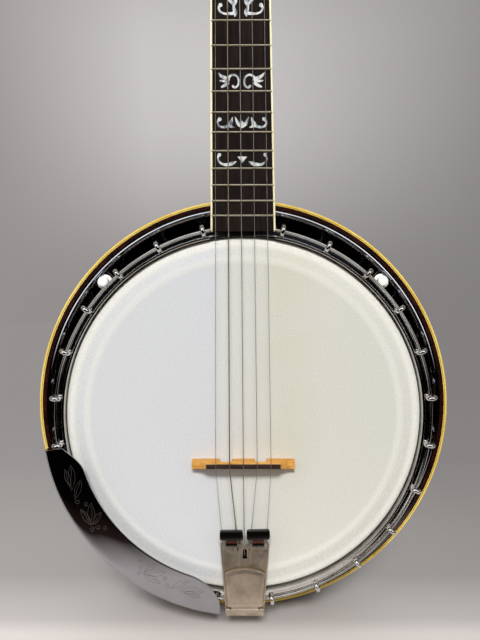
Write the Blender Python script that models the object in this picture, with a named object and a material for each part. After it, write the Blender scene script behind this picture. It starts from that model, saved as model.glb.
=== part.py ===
"""Five-string resonator banjo, upright, as separate pieces on their real seats.

The world origin is the point under the peghead's shoulders where a wall hanger or
a stand's yoke takes the neck. +Z runs up the neck, -Y is the player's side of the
head, +X is the treble side. Depths in the pot are measured back from the head.
"""

import math

import bmesh
import bpy
from mathutils import Matrix, Vector

MM = 0.001

# Clearances
SEAT_GAP = 0.3 * MM
RUNNING_GAP = 0.3 * MM
NECK_POCKET_GAP = 0.8 * MM
HOOP_NOTCH_GAP = 0.6 * MM

# Turned rings
RING_STEPS = 60
SMALL_STEPS = 12
RING_FLAT = math.cos(math.pi / RING_STEPS)

# Head and tone ring
HEAD_RADIUS = 139.7 * MM
HEAD_THICKNESS = 0.4 * MM
ARCH_SLOPE_WIDTH = 17.7 * MM
CROWN_DROP = 2.2 * MM
CROWN_ROUND = 1.8 * MM
FLESH_HOOP_WIDTH = 4.8 * MM
FLESH_HOOP_HEIGHT = 4.6 * MM
TONE_RING_DEPTH = 26.0 * MM
TONE_RING_WALL = 3.0 * MM
TONE_RING_SHELF = 9.6 * MM
TONE_RING_WIDTH = 21.7 * MM

# Tension hoop, grooved for round hooks
HOOP_FRONT = -2.0 * MM
HOOP_BACK = 9.0 * MM
HOOP_WIDTH = 7.9 * MM
HOOP_LIP = 2.0 * MM
HOOP_BEAD = 1.7 * MM
GROOVE_DEPTH = 3.2 * MM

# Rim
RIM_THICKNESS = 19.7 * MM
RIM_BACK = 69.0 * MM
RIM_STEP = 2.4 * MM

# One-piece slotted flange
FLANGE_EDGE = 3.5 * MM
FLANGE_FRONT = 49.5 * MM
FLANGE_PLATE = 2.5 * MM
FLANGE_HUB_WIDTH = 4.8 * MM
FLANGE_HUB_DEPTH = 7.5 * MM
FLANGE_ROUND = 3.2 * MM
HOOK_TO_SLOT = 10.0 * MM
SLOT_HEIGHT = 11.0 * MM
SLOT_ANGLE = 11.7

# Bracket hooks and nuts
HOOKS_PER_SIDE = 12
HOOK_FIRST_ANGLE = 12.1
HOOK_LAST_ANGLE = 171.3
HOOK_ROD = 3.6 * MM
HOOK_NUT = 7.2 * MM
HOOK_NUT_LENGTH = 12.0 * MM
HOOK_SIDES_SETTING = 1

# Resonator
RESONATOR_CLEARANCE = 0.7 * MM
RESONATOR_FRONT = 42.9 * MM
RESONATOR_DEPTH = 57.0 * MM
RESONATOR_WALL = 6.0 * MM
RESONATOR_BACK_PLATE = 6.5 * MM
BACK_ROUND_WIDTH = 50.7 * MM
BINDING_SIZE = 3.1 * MM
LUG_HEIGHT = 9.0 * MM
LUG_WIDTH = 16.0 * MM
LUG_REACH = 15.5 * MM
THUMBSCREW_SLOTS = (2, 8)
THUMBSCREW_HEAD = 9.6 * MM
THUMBSCREW_HEAD_LENGTH = 6.0 * MM
THUMBSCREW_NECK_LENGTH = 1.8 * MM
THUMBSCREW_WASHER = 13.0 * MM
THUMBSCREW_SHAFT = 4.6 * MM

# Scale and strings
SCALE_LENGTH = 673.1 * MM
FRET_COUNT = 22
STRING_GAUGES = (0.25 * MM, 0.30 * MM, 0.41 * MM, 0.58 * MM, 0.25 * MM)
BRIDGE_SPACING = 10.45 * MM
NUT_SPACING = 8.15 * MM
BRIDGE_HEIGHT = 16.2 * MM
BRIDGE_LENGTH = 79.9 * MM
BRIDGE_SETBACK = 1.1 * MM
BRIDGE_TOP_LENGTH = 56.0 * MM
BRIDGE_TOP_WIDTH = 3.2 * MM
BRIDGE_FOOT_WIDTH = 8.2 * MM
BRIDGE_END_HEIGHT = 7.0 * MM
BRIDGE_GAP_INNER = 8.8 * MM
BRIDGE_GAP_OUTER = 18.3 * MM
BRIDGE_GAP_HEIGHT = 9.0 * MM

# Neck and fingerboard, in the neck's own frame: Z from the board's end to the nut
NECK_TILT = 1.83
BOARD_END_PAST_HEAD = 3.8 * MM
BOARD_END_FRONT = -6.5 * MM
BOARD_PAST_LAST_FRET = 11.4 * MM
BOARD_THICKNESS = 5.5 * MM
BOARD_END_TREBLE = 24.9 * MM
BOARD_END_BASS = -24.6 * MM
FIFTH_EDGE = -24.5 * MM
NUT_HALF_WIDTH = 15.9 * MM
NUT_THICKNESS = 5.0 * MM
NUT_HEIGHT = 2.0 * MM
STRING_OVER_NUT = 1.4 * MM
FRET_WIDTH = 2.2 * MM
FRET_HEIGHT = 1.0 * MM
NECK_BINDING = 1.8 * MM
NECK_DEPTH_AT_NUT = 21.0 * MM
NECK_DEPTH_AT_HEEL = 25.0 * MM
HEEL_DEPTH = 84.0 * MM
HEEL_START = 90.0 * MM
HEEL_FULL = 36.0 * MM
HEEL_TAPER = 0.36
NECK_BELOW_BOARD_END = 6.0 * MM
SHOULDER_START = 4.5 * MM
SHOULDER_END = 11.5 * MM

# Peghead, tilted back from the nut
PEGHEAD_TILT = 13.0
PEGHEAD_LENGTH = 160.0 * MM
PEGHEAD_THICKNESS = 14.5 * MM
PEGHEAD_RECESS = 5.3 * MM
PEG_SIDE = 24.5 * MM
LOWER_PEG_SHARE = 0.275
UPPER_PEG_SHARE = 0.65
COVER_THICKNESS = 2.0 * MM
HANGER_DEPTH = 12.0 * MM

# Planetary tuners and the fifth string's friction peg
POST_DIAMETER = 6.2 * MM
POST_WAIST = 4.6 * MM
POST_HEIGHT = 17.0 * MM
POST_TAIL = 9.0 * MM
STRING_ON_POST = 9.0 * MM
COLLAR_DIAMETER = 11.0 * MM
COLLAR_HEIGHT = 2.2 * MM
HOUSING_DIAMETER = 15.5 * MM
HOUSING_LENGTH = 12.5 * MM
STEM_DIAMETER = 5.6 * MM
STEM_LENGTH = 9.0 * MM
KNOB_WIDTH = 21.0 * MM
KNOB_LENGTH = 16.0 * MM
KNOB_FLATNESS = 0.5
FIFTH_PEG_PAST_FRET = 24.0 * MM
FIFTH_PEG_DEPTH = 8.6 * MM
FIFTH_PEG_SHAFT = 4.0 * MM
FIFTH_NUT_PAST_FRET = 3.0 * MM
FIFTH_NUT_X = -20.3 * MM
FIFTH_NUT_HEIGHT = 2.0 * MM
FIFTH_NUT_DIAMETER = 2.4 * MM

# Coordinator rod
ROD_DEPTH = 36.0 * MM
ROD_DIAMETER = 6.0 * MM
ROD_INTO_HEEL = 15.0 * MM
ROD_NUT = 12.0 * MM
ROD_NUT_LENGTH = 6.0 * MM

# Tailpiece, hinged cover and damper
TAIL_X = 1.0 * MM
TAIL_FRONT = -7.6 * MM
TAIL_PLATE = 1.4 * MM
TAIL_RAIL = 4.4 * MM
TAIL_LENGTH = 56.5 * MM
TAIL_PAST_HOOP = 7.6 * MM
TAIL_TOP_HALF = 19.0 * MM
TAIL_END_HALF = 14.8 * MM
TAIL_WALL_END = 1.0 * MM
STRAP_HALF = 8.0 * MM
STRAP_OVERHANG = 6.0 * MM
NOTCH_DEPTH = 5.0 * MM
NOTCH_WIDTH = 1.8 * MM
NOTCH_POSITIONS = (16.7 * MM, 4.2 * MM, -0.4 * MM, -5.4 * MM, -17.0 * MM)
HINGE_DEPTH = -9.9 * MM
HINGE_TO_END = 5.9 * MM
HINGE_PIN = 2.0 * MM
KNUCKLE_DIAMETER = 3.8 * MM
KNUCKLE_HALF = 10.8 * MM
COVER_FRONT = -11.4 * MM
COVER_WALL = 1.0 * MM
COVER_ARCH_TO_END = 38.6 * MM
COVER_SIDE_TO_END = 35.2 * MM
COVER_TOP_HALF = 15.3 * MM
COVER_END_HALF = 13.4 * MM
COVER_TO_END = 8.6 * MM
DAMPER_SPACING = 10.3 * MM
DAMPER_PAD_WIDTH = 17.8 * MM
DAMPER_PAD_REACH = 14.5 * MM
DAMPER_PAD_HEIGHT = 7.2 * MM
DAMPER_PAD_FRONT = -15.0 * MM
DAMPER_PAD_BACK = -10.8 * MM
DAMPER_STEM_WIDTH = 7.0 * MM
DAMPER_STRAP_DEPTH = -4.6 * MM
DAMPER_STRAP_THICKNESS = 1.4 * MM
DAMPER_STRAP_LENGTH = 13.0 * MM
DAMPER_STRAP_WIDTH = 8.0 * MM

# Armrest
ARMREST_START = 99.3
ARMREST_END = 173.0
ARMREST_STEPS = 18
ARMREST_PAST_HOOP = 8.1 * MM
ARMREST_WIDTH = 27.0 * MM
ARMREST_SHOULDER = 3.0 * MM
ARMREST_THICKNESS = 1.2 * MM
ARMREST_CREST = -10.2 * MM
ARMREST_LEG_SLOTS = (7, 9)
ARMREST_LEG_WIDTH = 9.0 * MM
ARMREST_LEG_THICKNESS = 1.3 * MM


# How far a cutter runs past the surface that it cuts
OVERRUN = 4.0 * MM


# Places worked out from the sizes above
UP_THE_POT = Matrix.Rotation(math.radians(90.0), 4, "X")
DOWN_THE_POT = Matrix.Rotation(math.radians(-90.0), 4, "X")
ARCH_RADIUS = HEAD_RADIUS - ARCH_SLOPE_WIDTH
TONE_RING_INNER = HEAD_RADIUS - TONE_RING_WIDTH
RIM_INNER = HEAD_RADIUS - RIM_THICKNESS
HOOP_INNER = HEAD_RADIUS + SEAT_GAP
HOOP_OUTER = HOOP_INNER + HOOP_WIDTH
GROOVE_INNER = HOOP_INNER + HOOP_LIP
GROOVE_OUTER = HOOP_OUTER - HOOP_BEAD
HOOK_CIRCLE = HOOP_OUTER + SEAT_GAP + HOOK_ROD / 2.0
SLOT_CENTRE = HOOK_CIRCLE + HOOK_TO_SLOT
FLANGE_RADIUS = SLOT_CENTRE + SLOT_HEIGHT / 2.0 + FLANGE_EDGE
RESONATOR_INNER = FLANGE_RADIUS + RESONATOR_CLEARANCE
RESONATOR_RADIUS = RESONATOR_INNER + RESONATOR_WALL
BACK_FLAT_RADIUS = RESONATOR_RADIUS - BACK_ROUND_WIDTH
BOARD_END_RADIUS = HEAD_RADIUS + BOARD_END_PAST_HEAD
NECK_PLACE = (
    Matrix.Translation((0.0, BOARD_END_FRONT, BOARD_END_RADIUS))
    @ Matrix.Rotation(math.radians(-NECK_TILT), 4, "X")
)
BOARD_LENGTH = SCALE_LENGTH * (1.0 - 2.0 ** (-FRET_COUNT / 12.0)) + BOARD_PAST_LAST_FRET
PEGHEAD_PLACE = (
    NECK_PLACE
    @ Matrix.Translation((0.0, PEGHEAD_RECESS, BOARD_LENGTH + SEAT_GAP + NUT_THICKNESS))
    @ Matrix.Rotation(math.radians(-PEGHEAD_TILT), 4, "X")
)
HANGER_IN_POT = NECK_PLACE @ Vector((0.0, HANGER_DEPTH, BOARD_LENGTH + NUT_THICKNESS))
POT_ORIGIN = -HANGER_IN_POT
HOOK_TIP_CIRCLE = (GROOVE_INNER + GROOVE_OUTER) / 2.0
HOOK_BEND = (HOOK_CIRCLE - HOOK_TIP_CIRCLE) / 2.0
HOOK_BEND_DEPTH = HOOP_FRONT + 0.5 * MM
FLANGE_BACK = FLANGE_FRONT + FLANGE_PLATE
RIM_RADIUS = HEAD_RADIUS - HEAD_THICKNESS - SEAT_GAP
FLANGE_SEAT_RADIUS = RIM_RADIUS - RIM_STEP
HOOK_PITCH = (HOOK_LAST_ANGLE - HOOK_FIRST_ANGLE) / (HOOKS_PER_SIDE - 1)
RESONATOR_BACK = RESONATOR_FRONT + RESONATOR_DEPTH
LOWER_PEG = PEGHEAD_LENGTH * LOWER_PEG_SHARE
UPPER_PEG = PEGHEAD_LENGTH * UPPER_PEG_SHARE
BRIDGE_Z = (NECK_PLACE @ Vector((0.0, 0.0, BOARD_LENGTH))).z - SCALE_LENGTH - BRIDGE_SETBACK
NECK_TOP = BOARD_THICKNESS + SEAT_GAP
TAIL_BACK = TAIL_FRONT + TAIL_PLATE
TAIL_END_Z = -HOOP_OUTER - TAIL_PAST_HOOP
TAIL_TOP_Z = TAIL_END_Z + TAIL_LENGTH
HINGE_Z = TAIL_END_Z + HINGE_TO_END
COVER_ARCH_Z = TAIL_END_Z + COVER_ARCH_TO_END
COVER_SIDE_Z = TAIL_END_Z + COVER_SIDE_TO_END
COVER_END_Z = TAIL_END_Z + COVER_TO_END
DAMPER_PAD_TOP_Z = TAIL_TOP_Z + DAMPER_PAD_REACH
DAMPER_STRAP_END_Z = TAIL_TOP_Z - DAMPER_STRAP_LENGTH
ARMREST_OUTER = HOOP_OUTER + ARMREST_PAST_HOOP
ARMREST_INNER = ARMREST_OUTER - ARMREST_WIDTH


def fret_place(number):
    """Distance of a fret from the board's end, along the neck."""
    return BOARD_LENGTH - SCALE_LENGTH * (1.0 - 2.0 ** (-number / 12.0))


def treble_edge(along):
    """The treble side tapers straight from the board's end to the nut."""
    share = along / BOARD_LENGTH
    return BOARD_END_TREBLE + (NUT_HALF_WIDTH - BOARD_END_TREBLE) * share


def bass_edge(along):
    """The bass side steps in past the fifth fret, where the short string ends."""
    past_fifth = along - fret_place(5)
    narrow = -treble_edge(along)
    wide_share = along / fret_place(5)
    wide = BOARD_END_BASS + (FIFTH_EDGE - BOARD_END_BASS) * wide_share
    if past_fifth <= SHOULDER_START:
        return wide
    if past_fifth >= SHOULDER_END:
        return narrow
    turn = (past_fifth - SHOULDER_START) / (SHOULDER_END - SHOULDER_START)
    ease = (1.0 - math.cos(math.pi * turn)) / 2.0
    return wide + (narrow - wide) * ease


def on_circle(radius, angle, depth=0.0):
    """A point in the pot, by its angle clockwise from the neck as the player's side shows it."""
    turn = math.radians(angle)
    return Vector((radius * math.sin(turn), depth, radius * math.cos(turn)))


def around_pot(angle):
    """Turns +X to point outwards at this angle round the pot."""
    return Matrix.Rotation(math.radians(angle - 90.0), 4, "Y")


def hook_angles():
    """Angles of all hooks, treble side first, from the neck to the tailpiece."""
    side = [HOOK_FIRST_ANGLE + HOOK_PITCH * step for step in range(HOOKS_PER_SIDE)]
    return side + [-angle for angle in side]


def slot_angle(slot):
    """The middle of the space between two neighbouring hooks."""
    return HOOK_FIRST_ANGLE + HOOK_PITCH * (slot + 0.5)


# Scene and material helpers


def clear_scene():
    for item in list(bpy.data.objects):
        bpy.data.objects.remove(item, do_unlink=True)


def make_material(name, colour, roughness, metallic=0.0):
    finish = bpy.data.materials.new(name)
    finish.use_nodes = True
    shader = finish.node_tree.nodes["Principled BSDF"]
    shader.inputs["Base Color"].default_value = (*colour, 1.0)
    shader.inputs["Roughness"].default_value = roughness
    shader.inputs["Metallic"].default_value = metallic
    return finish


def make_frame(name, place, parent=None):
    """An empty that carries one group of pieces."""
    frame = bpy.data.objects.new(name, None)
    bpy.context.collection.objects.link(frame)
    frame.parent = parent
    frame.matrix_basis = place
    return frame


def link_object(name, data, parent, place=None, finish=None):
    item = bpy.data.objects.new(name, data)
    bpy.context.collection.objects.link(item)
    item.parent = parent
    if place is not None:
        item.matrix_basis = place
    if finish is not None and not data.materials:
        data.materials.append(finish)
    return item


def mesh_from(shape, name, sharp_angle=35.0):
    """Closes a bmesh into a smooth-shaded mesh whose faces point outwards."""
    bmesh.ops.remove_doubles(shape, verts=shape.verts, dist=0.001 * MM)
    bmesh.ops.recalc_face_normals(shape, faces=shape.faces)
    mesh = bpy.data.meshes.new(name)
    shape.to_mesh(mesh)
    shape.free()
    mesh.shade_smooth()
    mesh.set_sharp_from_angle(angle=math.radians(sharp_angle))
    return mesh


def cut(piece, cutter, operation="DIFFERENCE"):
    """A Boolean that stays on the piece; the cutter is only a guide."""
    cutter.hide_render = True
    cutter.display_type = "WIRE"
    change = piece.modifiers.new(cutter.name, "BOOLEAN")
    change.operation = operation
    change.object = cutter
    change.solver = "EXACT"
    return change


# Shapes


def add_turned(shape, profile, steps=RING_STEPS, place=None, closed=True):
    """Spins an outline of (radius, depth) about the Y axis."""
    corners = [shape.verts.new((radius, depth, 0.0)) for radius, depth in profile]
    ends = corners[1:] + corners[:1] if closed else corners[1:]
    edges = [shape.edges.new((a, b)) for a, b in zip(corners, ends)]
    spun = bmesh.ops.spin(
        shape,
        geom=corners + edges,
        cent=(0.0, 0.0, 0.0),
        axis=(0.0, 1.0, 0.0),
        angle=2.0 * math.pi,
        steps=steps,
        use_merge=True,
    )
    made = set(corners)
    for item in spun["geom_last"]:
        if isinstance(item, bmesh.types.BMVert):
            made.add(item)
    reached = list(made)
    while reached:
        corner = reached.pop()
        for edge in corner.link_edges:
            other = edge.other_vert(corner)
            if other not in made:
                made.add(other)
                reached.append(other)
    if place is not None:
        bmesh.ops.transform(shape, matrix=place, verts=list(made))
    return list(made)


def turned_mesh(name, profile, steps=RING_STEPS, closed=True):
    shape = bmesh.new()
    add_turned(shape, profile, steps, closed=closed)
    return mesh_from(shape, name)


def draw_out(shape, points, along, place=None):
    """A flat outline of 3-D points, drawn out into a solid along a vector."""
    corners = [shape.verts.new(point) for point in points]
    face = shape.faces.new(corners)
    drawn = bmesh.ops.extrude_face_region(shape, geom=[face])
    moved = [item for item in drawn["geom"] if isinstance(item, bmesh.types.BMVert)]
    bmesh.ops.translate(shape, verts=moved, vec=along)
    if place is not None:
        bmesh.ops.transform(shape, matrix=place, verts=corners + moved)
    return moved


def add_prism(shape, outline, low, high, place=None):
    """An outline in X and Z, drawn out along Y from low to high."""
    points = [(x, low, z) for x, z in outline]
    return draw_out(shape, points, (0.0, high - low, 0.0), place)


def prism_mesh(name, outline, low, high):
    shape = bmesh.new()
    add_prism(shape, outline, low, high)
    return mesh_from(shape, name)


def add_box(shape, low, high, place=None):
    outline = [(low[0], low[2]), (high[0], low[2]), (high[0], high[2]), (low[0], high[2])]
    return add_prism(shape, outline, low[1], high[1], place)


def add_rod(shape, radius, low, high, steps=SMALL_STEPS, place=None):
    """A plain cylinder along Y."""
    profile = [(0.0, low), (radius, low), (radius, high), (0.0, high)]
    return add_turned(shape, profile, steps, place, closed=False)


def add_hexagon_nut(shape, bore, across, low, high, place=None):
    """A nut along Y: round bore, six flats."""
    outline = [(bore, low), (across / 2.0, low), (across / 2.0, high), (bore, high)]
    corners = add_turned(shape, outline, 12)
    for corner in corners:
        turn = math.degrees(math.atan2(corner.co.z, corner.co.x))
        outside = math.hypot(corner.co.x, corner.co.z) > (bore + across / 2.0) / 2.0
        if outside and round(turn / 30.0) % 2:
            corner.co.x *= math.cos(math.radians(30.0))
            corner.co.z *= math.cos(math.radians(30.0))
    if place is not None:
        bmesh.ops.transform(shape, matrix=place, verts=corners)


def round_slot(half_length, half_height, steps=5):
    """A slot's outline with half-round ends, centred on the origin."""
    outline = []
    straight = half_length - half_height
    for side in (1.0, -1.0):
        for step in range(steps + 1):
            turn = math.pi * (step / steps - 0.5)
            x = side * (straight + half_height * math.cos(turn))
            outline.append((x, side * half_height * math.sin(turn)))
    return outline


def round_box(half_width, half_height, corner, steps=3):
    """A rectangle's outline with rounded corners, centred on the origin."""
    outline = []
    for quarter in range(4):
        sign_x = (1.0, -1.0, -1.0, 1.0)[quarter]
        sign_z = (1.0, 1.0, -1.0, -1.0)[quarter]
        for step in range(steps + 1):
            turn = math.radians(90.0) * (quarter + step / steps)
            x = sign_x * (half_width - corner) + corner * math.cos(turn)
            outline.append((x, sign_z * (half_height - corner) + corner * math.sin(turn)))
    return outline


def flowing(points, per_span=4):
    """A smooth open curve through a few points."""
    ends = [points[0]] + list(points) + [points[-1]]
    curve = []
    for start in range(len(points) - 1):
        before, here, there, after = (Vector(p) for p in ends[start:start + 4])
        for step in range(per_span):
            t = step / per_span
            curve.append(
                0.5
                * (
                    2.0 * here
                    + (there - before) * t
                    + (2.0 * before - 5.0 * here + 4.0 * there - after) * t * t
                    + (3.0 * here - before - 3.0 * there + after) * t * t * t
                )
            )
    curve.append(Vector(points[-1]))
    return curve


def rod_curve(name, points, radii=None, diameter=1.0, sides_setting=1):
    """A round rod or string through its points, with closed ends."""
    curve = bpy.data.curves.new(name, "CURVE")
    curve.dimensions = "3D"
    curve.bevel_depth = diameter / 2.0
    curve.bevel_resolution = sides_setting
    curve.use_fill_caps = True
    line = curve.splines.new("POLY")
    line.points.add(len(points) - 1)
    for index, point in enumerate(points):
        line.points[index].co = (*point, 1.0)
        line.points[index].radius = radii[index] if radii else 1.0
    return curve


# Head, rings and rim


def build_head(pot, finish):
    """Frosted head: a flat disc, a slope down to the crown, a skirt and the flesh hoop."""
    crown = CROWN_DROP + CROWN_ROUND
    skirt = HEAD_RADIUS - HEAD_THICKNESS
    flesh_front = HOOP_BACK + SEAT_GAP
    flesh_back = flesh_front + FLESH_HOOP_HEIGHT
    profile = [
        (0.0, 0.0),
        (ARCH_RADIUS, 0.0),
        (HEAD_RADIUS - CROWN_ROUND, CROWN_DROP),
        (HEAD_RADIUS, crown),
        (HEAD_RADIUS, flesh_front),
        (HEAD_RADIUS + FLESH_HOOP_WIDTH, flesh_front),
        (HEAD_RADIUS + FLESH_HOOP_WIDTH, flesh_back),
        (skirt, flesh_back),
        (skirt, crown + HEAD_THICKNESS / 2.0),
        (HEAD_RADIUS - CROWN_ROUND, CROWN_DROP + HEAD_THICKNESS),
        (ARCH_RADIUS, HEAD_THICKNESS),
        (0.0, HEAD_THICKNESS),
    ]
    link_object("head", turned_mesh("head", profile, closed=False), pot, finish=finish)


def build_tone_ring(pot, finish):
    """Arch-top tone ring: the head bears on its inner arch, its skirt sits on the rim."""
    seat = HEAD_THICKNESS + SEAT_GAP
    skirt = RIM_RADIUS
    profile = [
        (skirt, CROWN_DROP + CROWN_ROUND + seat),
        (skirt, TONE_RING_DEPTH),
        (skirt - TONE_RING_WALL, TONE_RING_DEPTH),
        (skirt - TONE_RING_WALL, TONE_RING_SHELF),
        (TONE_RING_INNER, TONE_RING_SHELF),
        (TONE_RING_INNER, seat + 2.0 * MM),
        (ARCH_RADIUS - 2.0 * MM, seat),
        (ARCH_RADIUS, seat),
        (HEAD_RADIUS - CROWN_ROUND - 0.8 * MM, CROWN_DROP + seat),
    ]
    link_object("tone_ring", turned_mesh("tone_ring", profile), pot, finish=finish)


def build_rim(pot, finish):
    """Laminated maple rim, stepped outside for the tone ring and for the flange."""
    neck_top = TONE_RING_SHELF + SEAT_GAP
    step_in = RIM_RADIUS - TONE_RING_WALL - SEAT_GAP
    shelf = TONE_RING_DEPTH + SEAT_GAP
    profile = [
        (RIM_INNER, neck_top),
        (step_in, neck_top),
        (step_in, shelf),
        (RIM_RADIUS, shelf),
        (RIM_RADIUS, FLANGE_FRONT - SEAT_GAP),
        (FLANGE_SEAT_RADIUS, FLANGE_FRONT - SEAT_GAP),
        (FLANGE_SEAT_RADIUS, RIM_BACK),
        (RIM_INNER, RIM_BACK),
    ]
    rim = link_object("rim", turned_mesh("rim", profile), pot, finish=finish)
    holes = bmesh.new()
    reach = RIM_RADIUS + OVERRUN
    along = Matrix.Translation((0.0, ROD_DEPTH, 0.0)) @ UP_THE_POT
    add_rod(holes, ROD_DIAMETER / 2.0 + RUNNING_GAP, -reach, reach, place=along)
    cut(rim, link_object("rod_holes", mesh_from(holes, "rod_holes"), pot))


def build_hoop(pot, finish):
    """Grooved tension hoop: inner lip, groove for the hooks, outer bead, neck notch."""
    floor = HOOP_FRONT + GROOVE_DEPTH
    soft = 0.5 * MM
    profile = [
        (HOOP_INNER, HOOP_BACK),
        (HOOP_INNER, HOOP_FRONT + soft),
        (HOOP_INNER + soft, HOOP_FRONT),
        (GROOVE_INNER - soft / 2.0, HOOP_FRONT),
        (GROOVE_INNER, floor),
        (GROOVE_OUTER, floor),
        (GROOVE_OUTER + soft / 2.0, HOOP_FRONT),
        (HOOP_OUTER - soft, HOOP_FRONT),
        (HOOP_OUTER, HOOP_FRONT + soft),
        (HOOP_OUTER, HOOP_BACK),
    ]
    hoop = link_object("tension_hoop", turned_mesh("tension_hoop", profile), pot, finish=finish)
    notch = bmesh.new()
    floor_depth = BOARD_END_FRONT + BOARD_THICKNESS + HOOP_NOTCH_GAP
    half = BOARD_END_TREBLE + HOOP_NOTCH_GAP
    low = (-half, HOOP_FRONT - OVERRUN, HOOP_INNER - HOOP_WIDTH)
    high = (half, floor_depth, HOOP_OUTER + OVERRUN)
    add_box(notch, low, high)
    cut(hoop, link_object("neck_notch", mesh_from(notch, "neck_notch"), pot))


# Flange, hooks and resonator


def build_flange(pot, finish):
    """One-piece flange: hub, slotted plate and rounded edge, with a hole for each hook."""
    hub_back = FLANGE_FRONT + FLANGE_HUB_DEPTH
    inner = FLANGE_SEAT_RADIUS + SEAT_GAP
    hub = inner + FLANGE_HUB_WIDTH
    turn_in = FLANGE_RADIUS - FLANGE_ROUND
    profile = [
        (inner, FLANGE_FRONT),
        (turn_in, FLANGE_FRONT),
        (FLANGE_RADIUS - FLANGE_ROUND * 0.3, FLANGE_FRONT + FLANGE_PLATE * 0.3),
        (FLANGE_RADIUS, FLANGE_BACK),
        (hub, FLANGE_BACK),
        (hub, hub_back),
        (inner, hub_back),
    ]
    flange = link_object("flange", turned_mesh("flange", profile), pot, finish=finish)
    openings = bmesh.new()
    half_length = math.radians(SLOT_ANGLE) * SLOT_CENTRE / 2.0
    outline = round_slot(half_length, SLOT_HEIGHT / 2.0)
    low = FLANGE_FRONT - OVERRUN
    high = FLANGE_BACK + OVERRUN
    for side in (1.0, -1.0):
        for slot in range(HOOKS_PER_SIDE - 1):
            angle = side * slot_angle(slot)
            turn = Matrix.Rotation(math.radians(angle), 4, "Y")
            place = turn @ Matrix.Translation((0.0, 0.0, SLOT_CENTRE))
            add_prism(openings, outline, low, high, place)
    for angle in hook_angles():
        place = Matrix.Translation(on_circle(HOOK_CIRCLE, angle))
        add_rod(openings, HOOK_ROD / 2.0 + RUNNING_GAP, low, high, steps=8, place=place)
    cut(flange, link_object("flange_openings", mesh_from(openings, "flange_openings"), pot))


def build_hooks(pot, finish):
    """Round bracket hooks: over the hoop's bead into the groove, down to a hexagon nut."""
    nut_front = FLANGE_BACK + SEAT_GAP
    nut_back = nut_front + HOOK_NUT_LENGTH
    wide = HOOK_NUT / HOOK_ROD
    chamfer = 0.2 * MM
    points = [
        (HOOK_CIRCLE, nut_back, 0.0),
        (HOOK_CIRCLE, nut_front + chamfer, 0.0),
        (HOOK_CIRCLE, nut_front, 0.0),
    ]
    radii = [wide, wide, 1.0]
    bend_steps = 5
    for step in range(bend_steps + 1):
        turn = math.pi * step / bend_steps
        radius = HOOK_CIRCLE - HOOK_BEND + HOOK_BEND * math.cos(turn)
        points.append((radius, HOOK_BEND_DEPTH - HOOK_BEND * math.sin(turn), 0.0))
        radii.append(1.0)
    points.append((HOOK_TIP_CIRCLE, HOOP_FRONT + GROOVE_DEPTH - SEAT_GAP, 0.0))
    radii.append(1.0)
    shape = rod_curve("bracket_hook", points, radii, HOOK_ROD, HOOK_SIDES_SETTING)
    for number, angle in enumerate(hook_angles(), start=1):
        link_object(f"hook_{number:02d}", shape, pot, around_pot(angle), finish)


def build_resonator(pot, finish):
    """Turned bowl: rabbeted front edge, rounded back, flat back plate, inside lugs."""
    rabbet = BINDING_SIZE + SEAT_GAP
    back = RESONATOR_BACK
    inside = back - RESONATOR_BACK_PLATE
    outer = RESONATOR_RADIUS
    inner = RESONATOR_INNER
    profile = [
        (0.0, inside),
        (BACK_FLAT_RADIUS, inside),
        (inner - 12.0 * MM, inside - 1.5 * MM),
        (inner - 3.0 * MM, inside - 6.5 * MM),
        (inner, inside - 15.0 * MM),
        (inner, RESONATOR_FRONT),
        (outer - rabbet, RESONATOR_FRONT),
        (outer - rabbet, RESONATOR_FRONT + rabbet),
        (outer, RESONATOR_FRONT + rabbet),
        (outer, back - 13.0 * MM),
        (outer - 2.0 * MM, back - 6.0 * MM),
        (outer - 7.5 * MM, back - 2.2 * MM),
        (outer - 18.0 * MM, back - 0.7 * MM),
        (BACK_FLAT_RADIUS, back),
        (0.0, back),
    ]
    mesh = turned_mesh("resonator", profile, closed=False)
    resonator = link_object("resonator", mesh, pot, finish=finish)

    lugs = bmesh.new()
    bores = bmesh.new()
    lug_front = FLANGE_BACK + SEAT_GAP
    for angle in thumbscrew_angles():
        place = around_pot(angle)
        low = (inner - LUG_REACH, lug_front, -LUG_WIDTH / 2.0)
        high = (inner + 2.0 * MM, lug_front + LUG_HEIGHT, LUG_WIDTH / 2.0)
        add_box(lugs, low, high, place)
        hole = Matrix.Translation(on_circle(SLOT_CENTRE, angle))
        radius = THUMBSCREW_SHAFT / 2.0 + RUNNING_GAP
        add_rod(bores, radius, lug_front - OVERRUN, lug_front + LUG_HEIGHT + OVERRUN, place=hole)
    cut(resonator, link_object("wall_lugs", mesh_from(lugs, "wall_lugs"), pot), "UNION")
    cut(resonator, link_object("lug_bores", mesh_from(bores, "lug_bores"), pot))

    pocket = bmesh.new()
    along = RESONATOR_INNER - BOARD_END_RADIUS
    section = [NECK_PLACE @ Vector((x, y, along)) for x, y in heel_section(along, NECK_POCKET_GAP)]
    outline = [(point.x, point.y) for point in section]
    low = RESONATOR_INNER - OVERRUN * 2.0
    high = RESONATOR_RADIUS + OVERRUN * 2.0
    draw_out(pocket, [(x, y, low) for x, y in outline], (0.0, 0.0, high - low))
    guide = link_object("heel_pocket", mesh_from(pocket, "heel_pocket"), pot)
    cut(resonator, guide)
    return guide


def build_binding(pot, finish, pocket):
    """Cream binding let into the resonator's front edge, open where the heel passes."""
    size = BINDING_SIZE
    outer = RESONATOR_RADIUS
    front = RESONATOR_FRONT
    profile = [
        (outer - size, front),
        (outer - 0.6 * MM, front),
        (outer, front + 0.6 * MM),
        (outer, front + size),
        (outer - size, front + size),
    ]
    mesh = turned_mesh("resonator_binding", profile)
    cut(link_object("resonator_binding", mesh, pot, finish=finish), pocket)


def thumbscrew_angles():
    angles = []
    for side in (1.0, -1.0):
        for slot in THUMBSCREW_SLOTS:
            angles.append(side * slot_angle(slot))
    return angles


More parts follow.
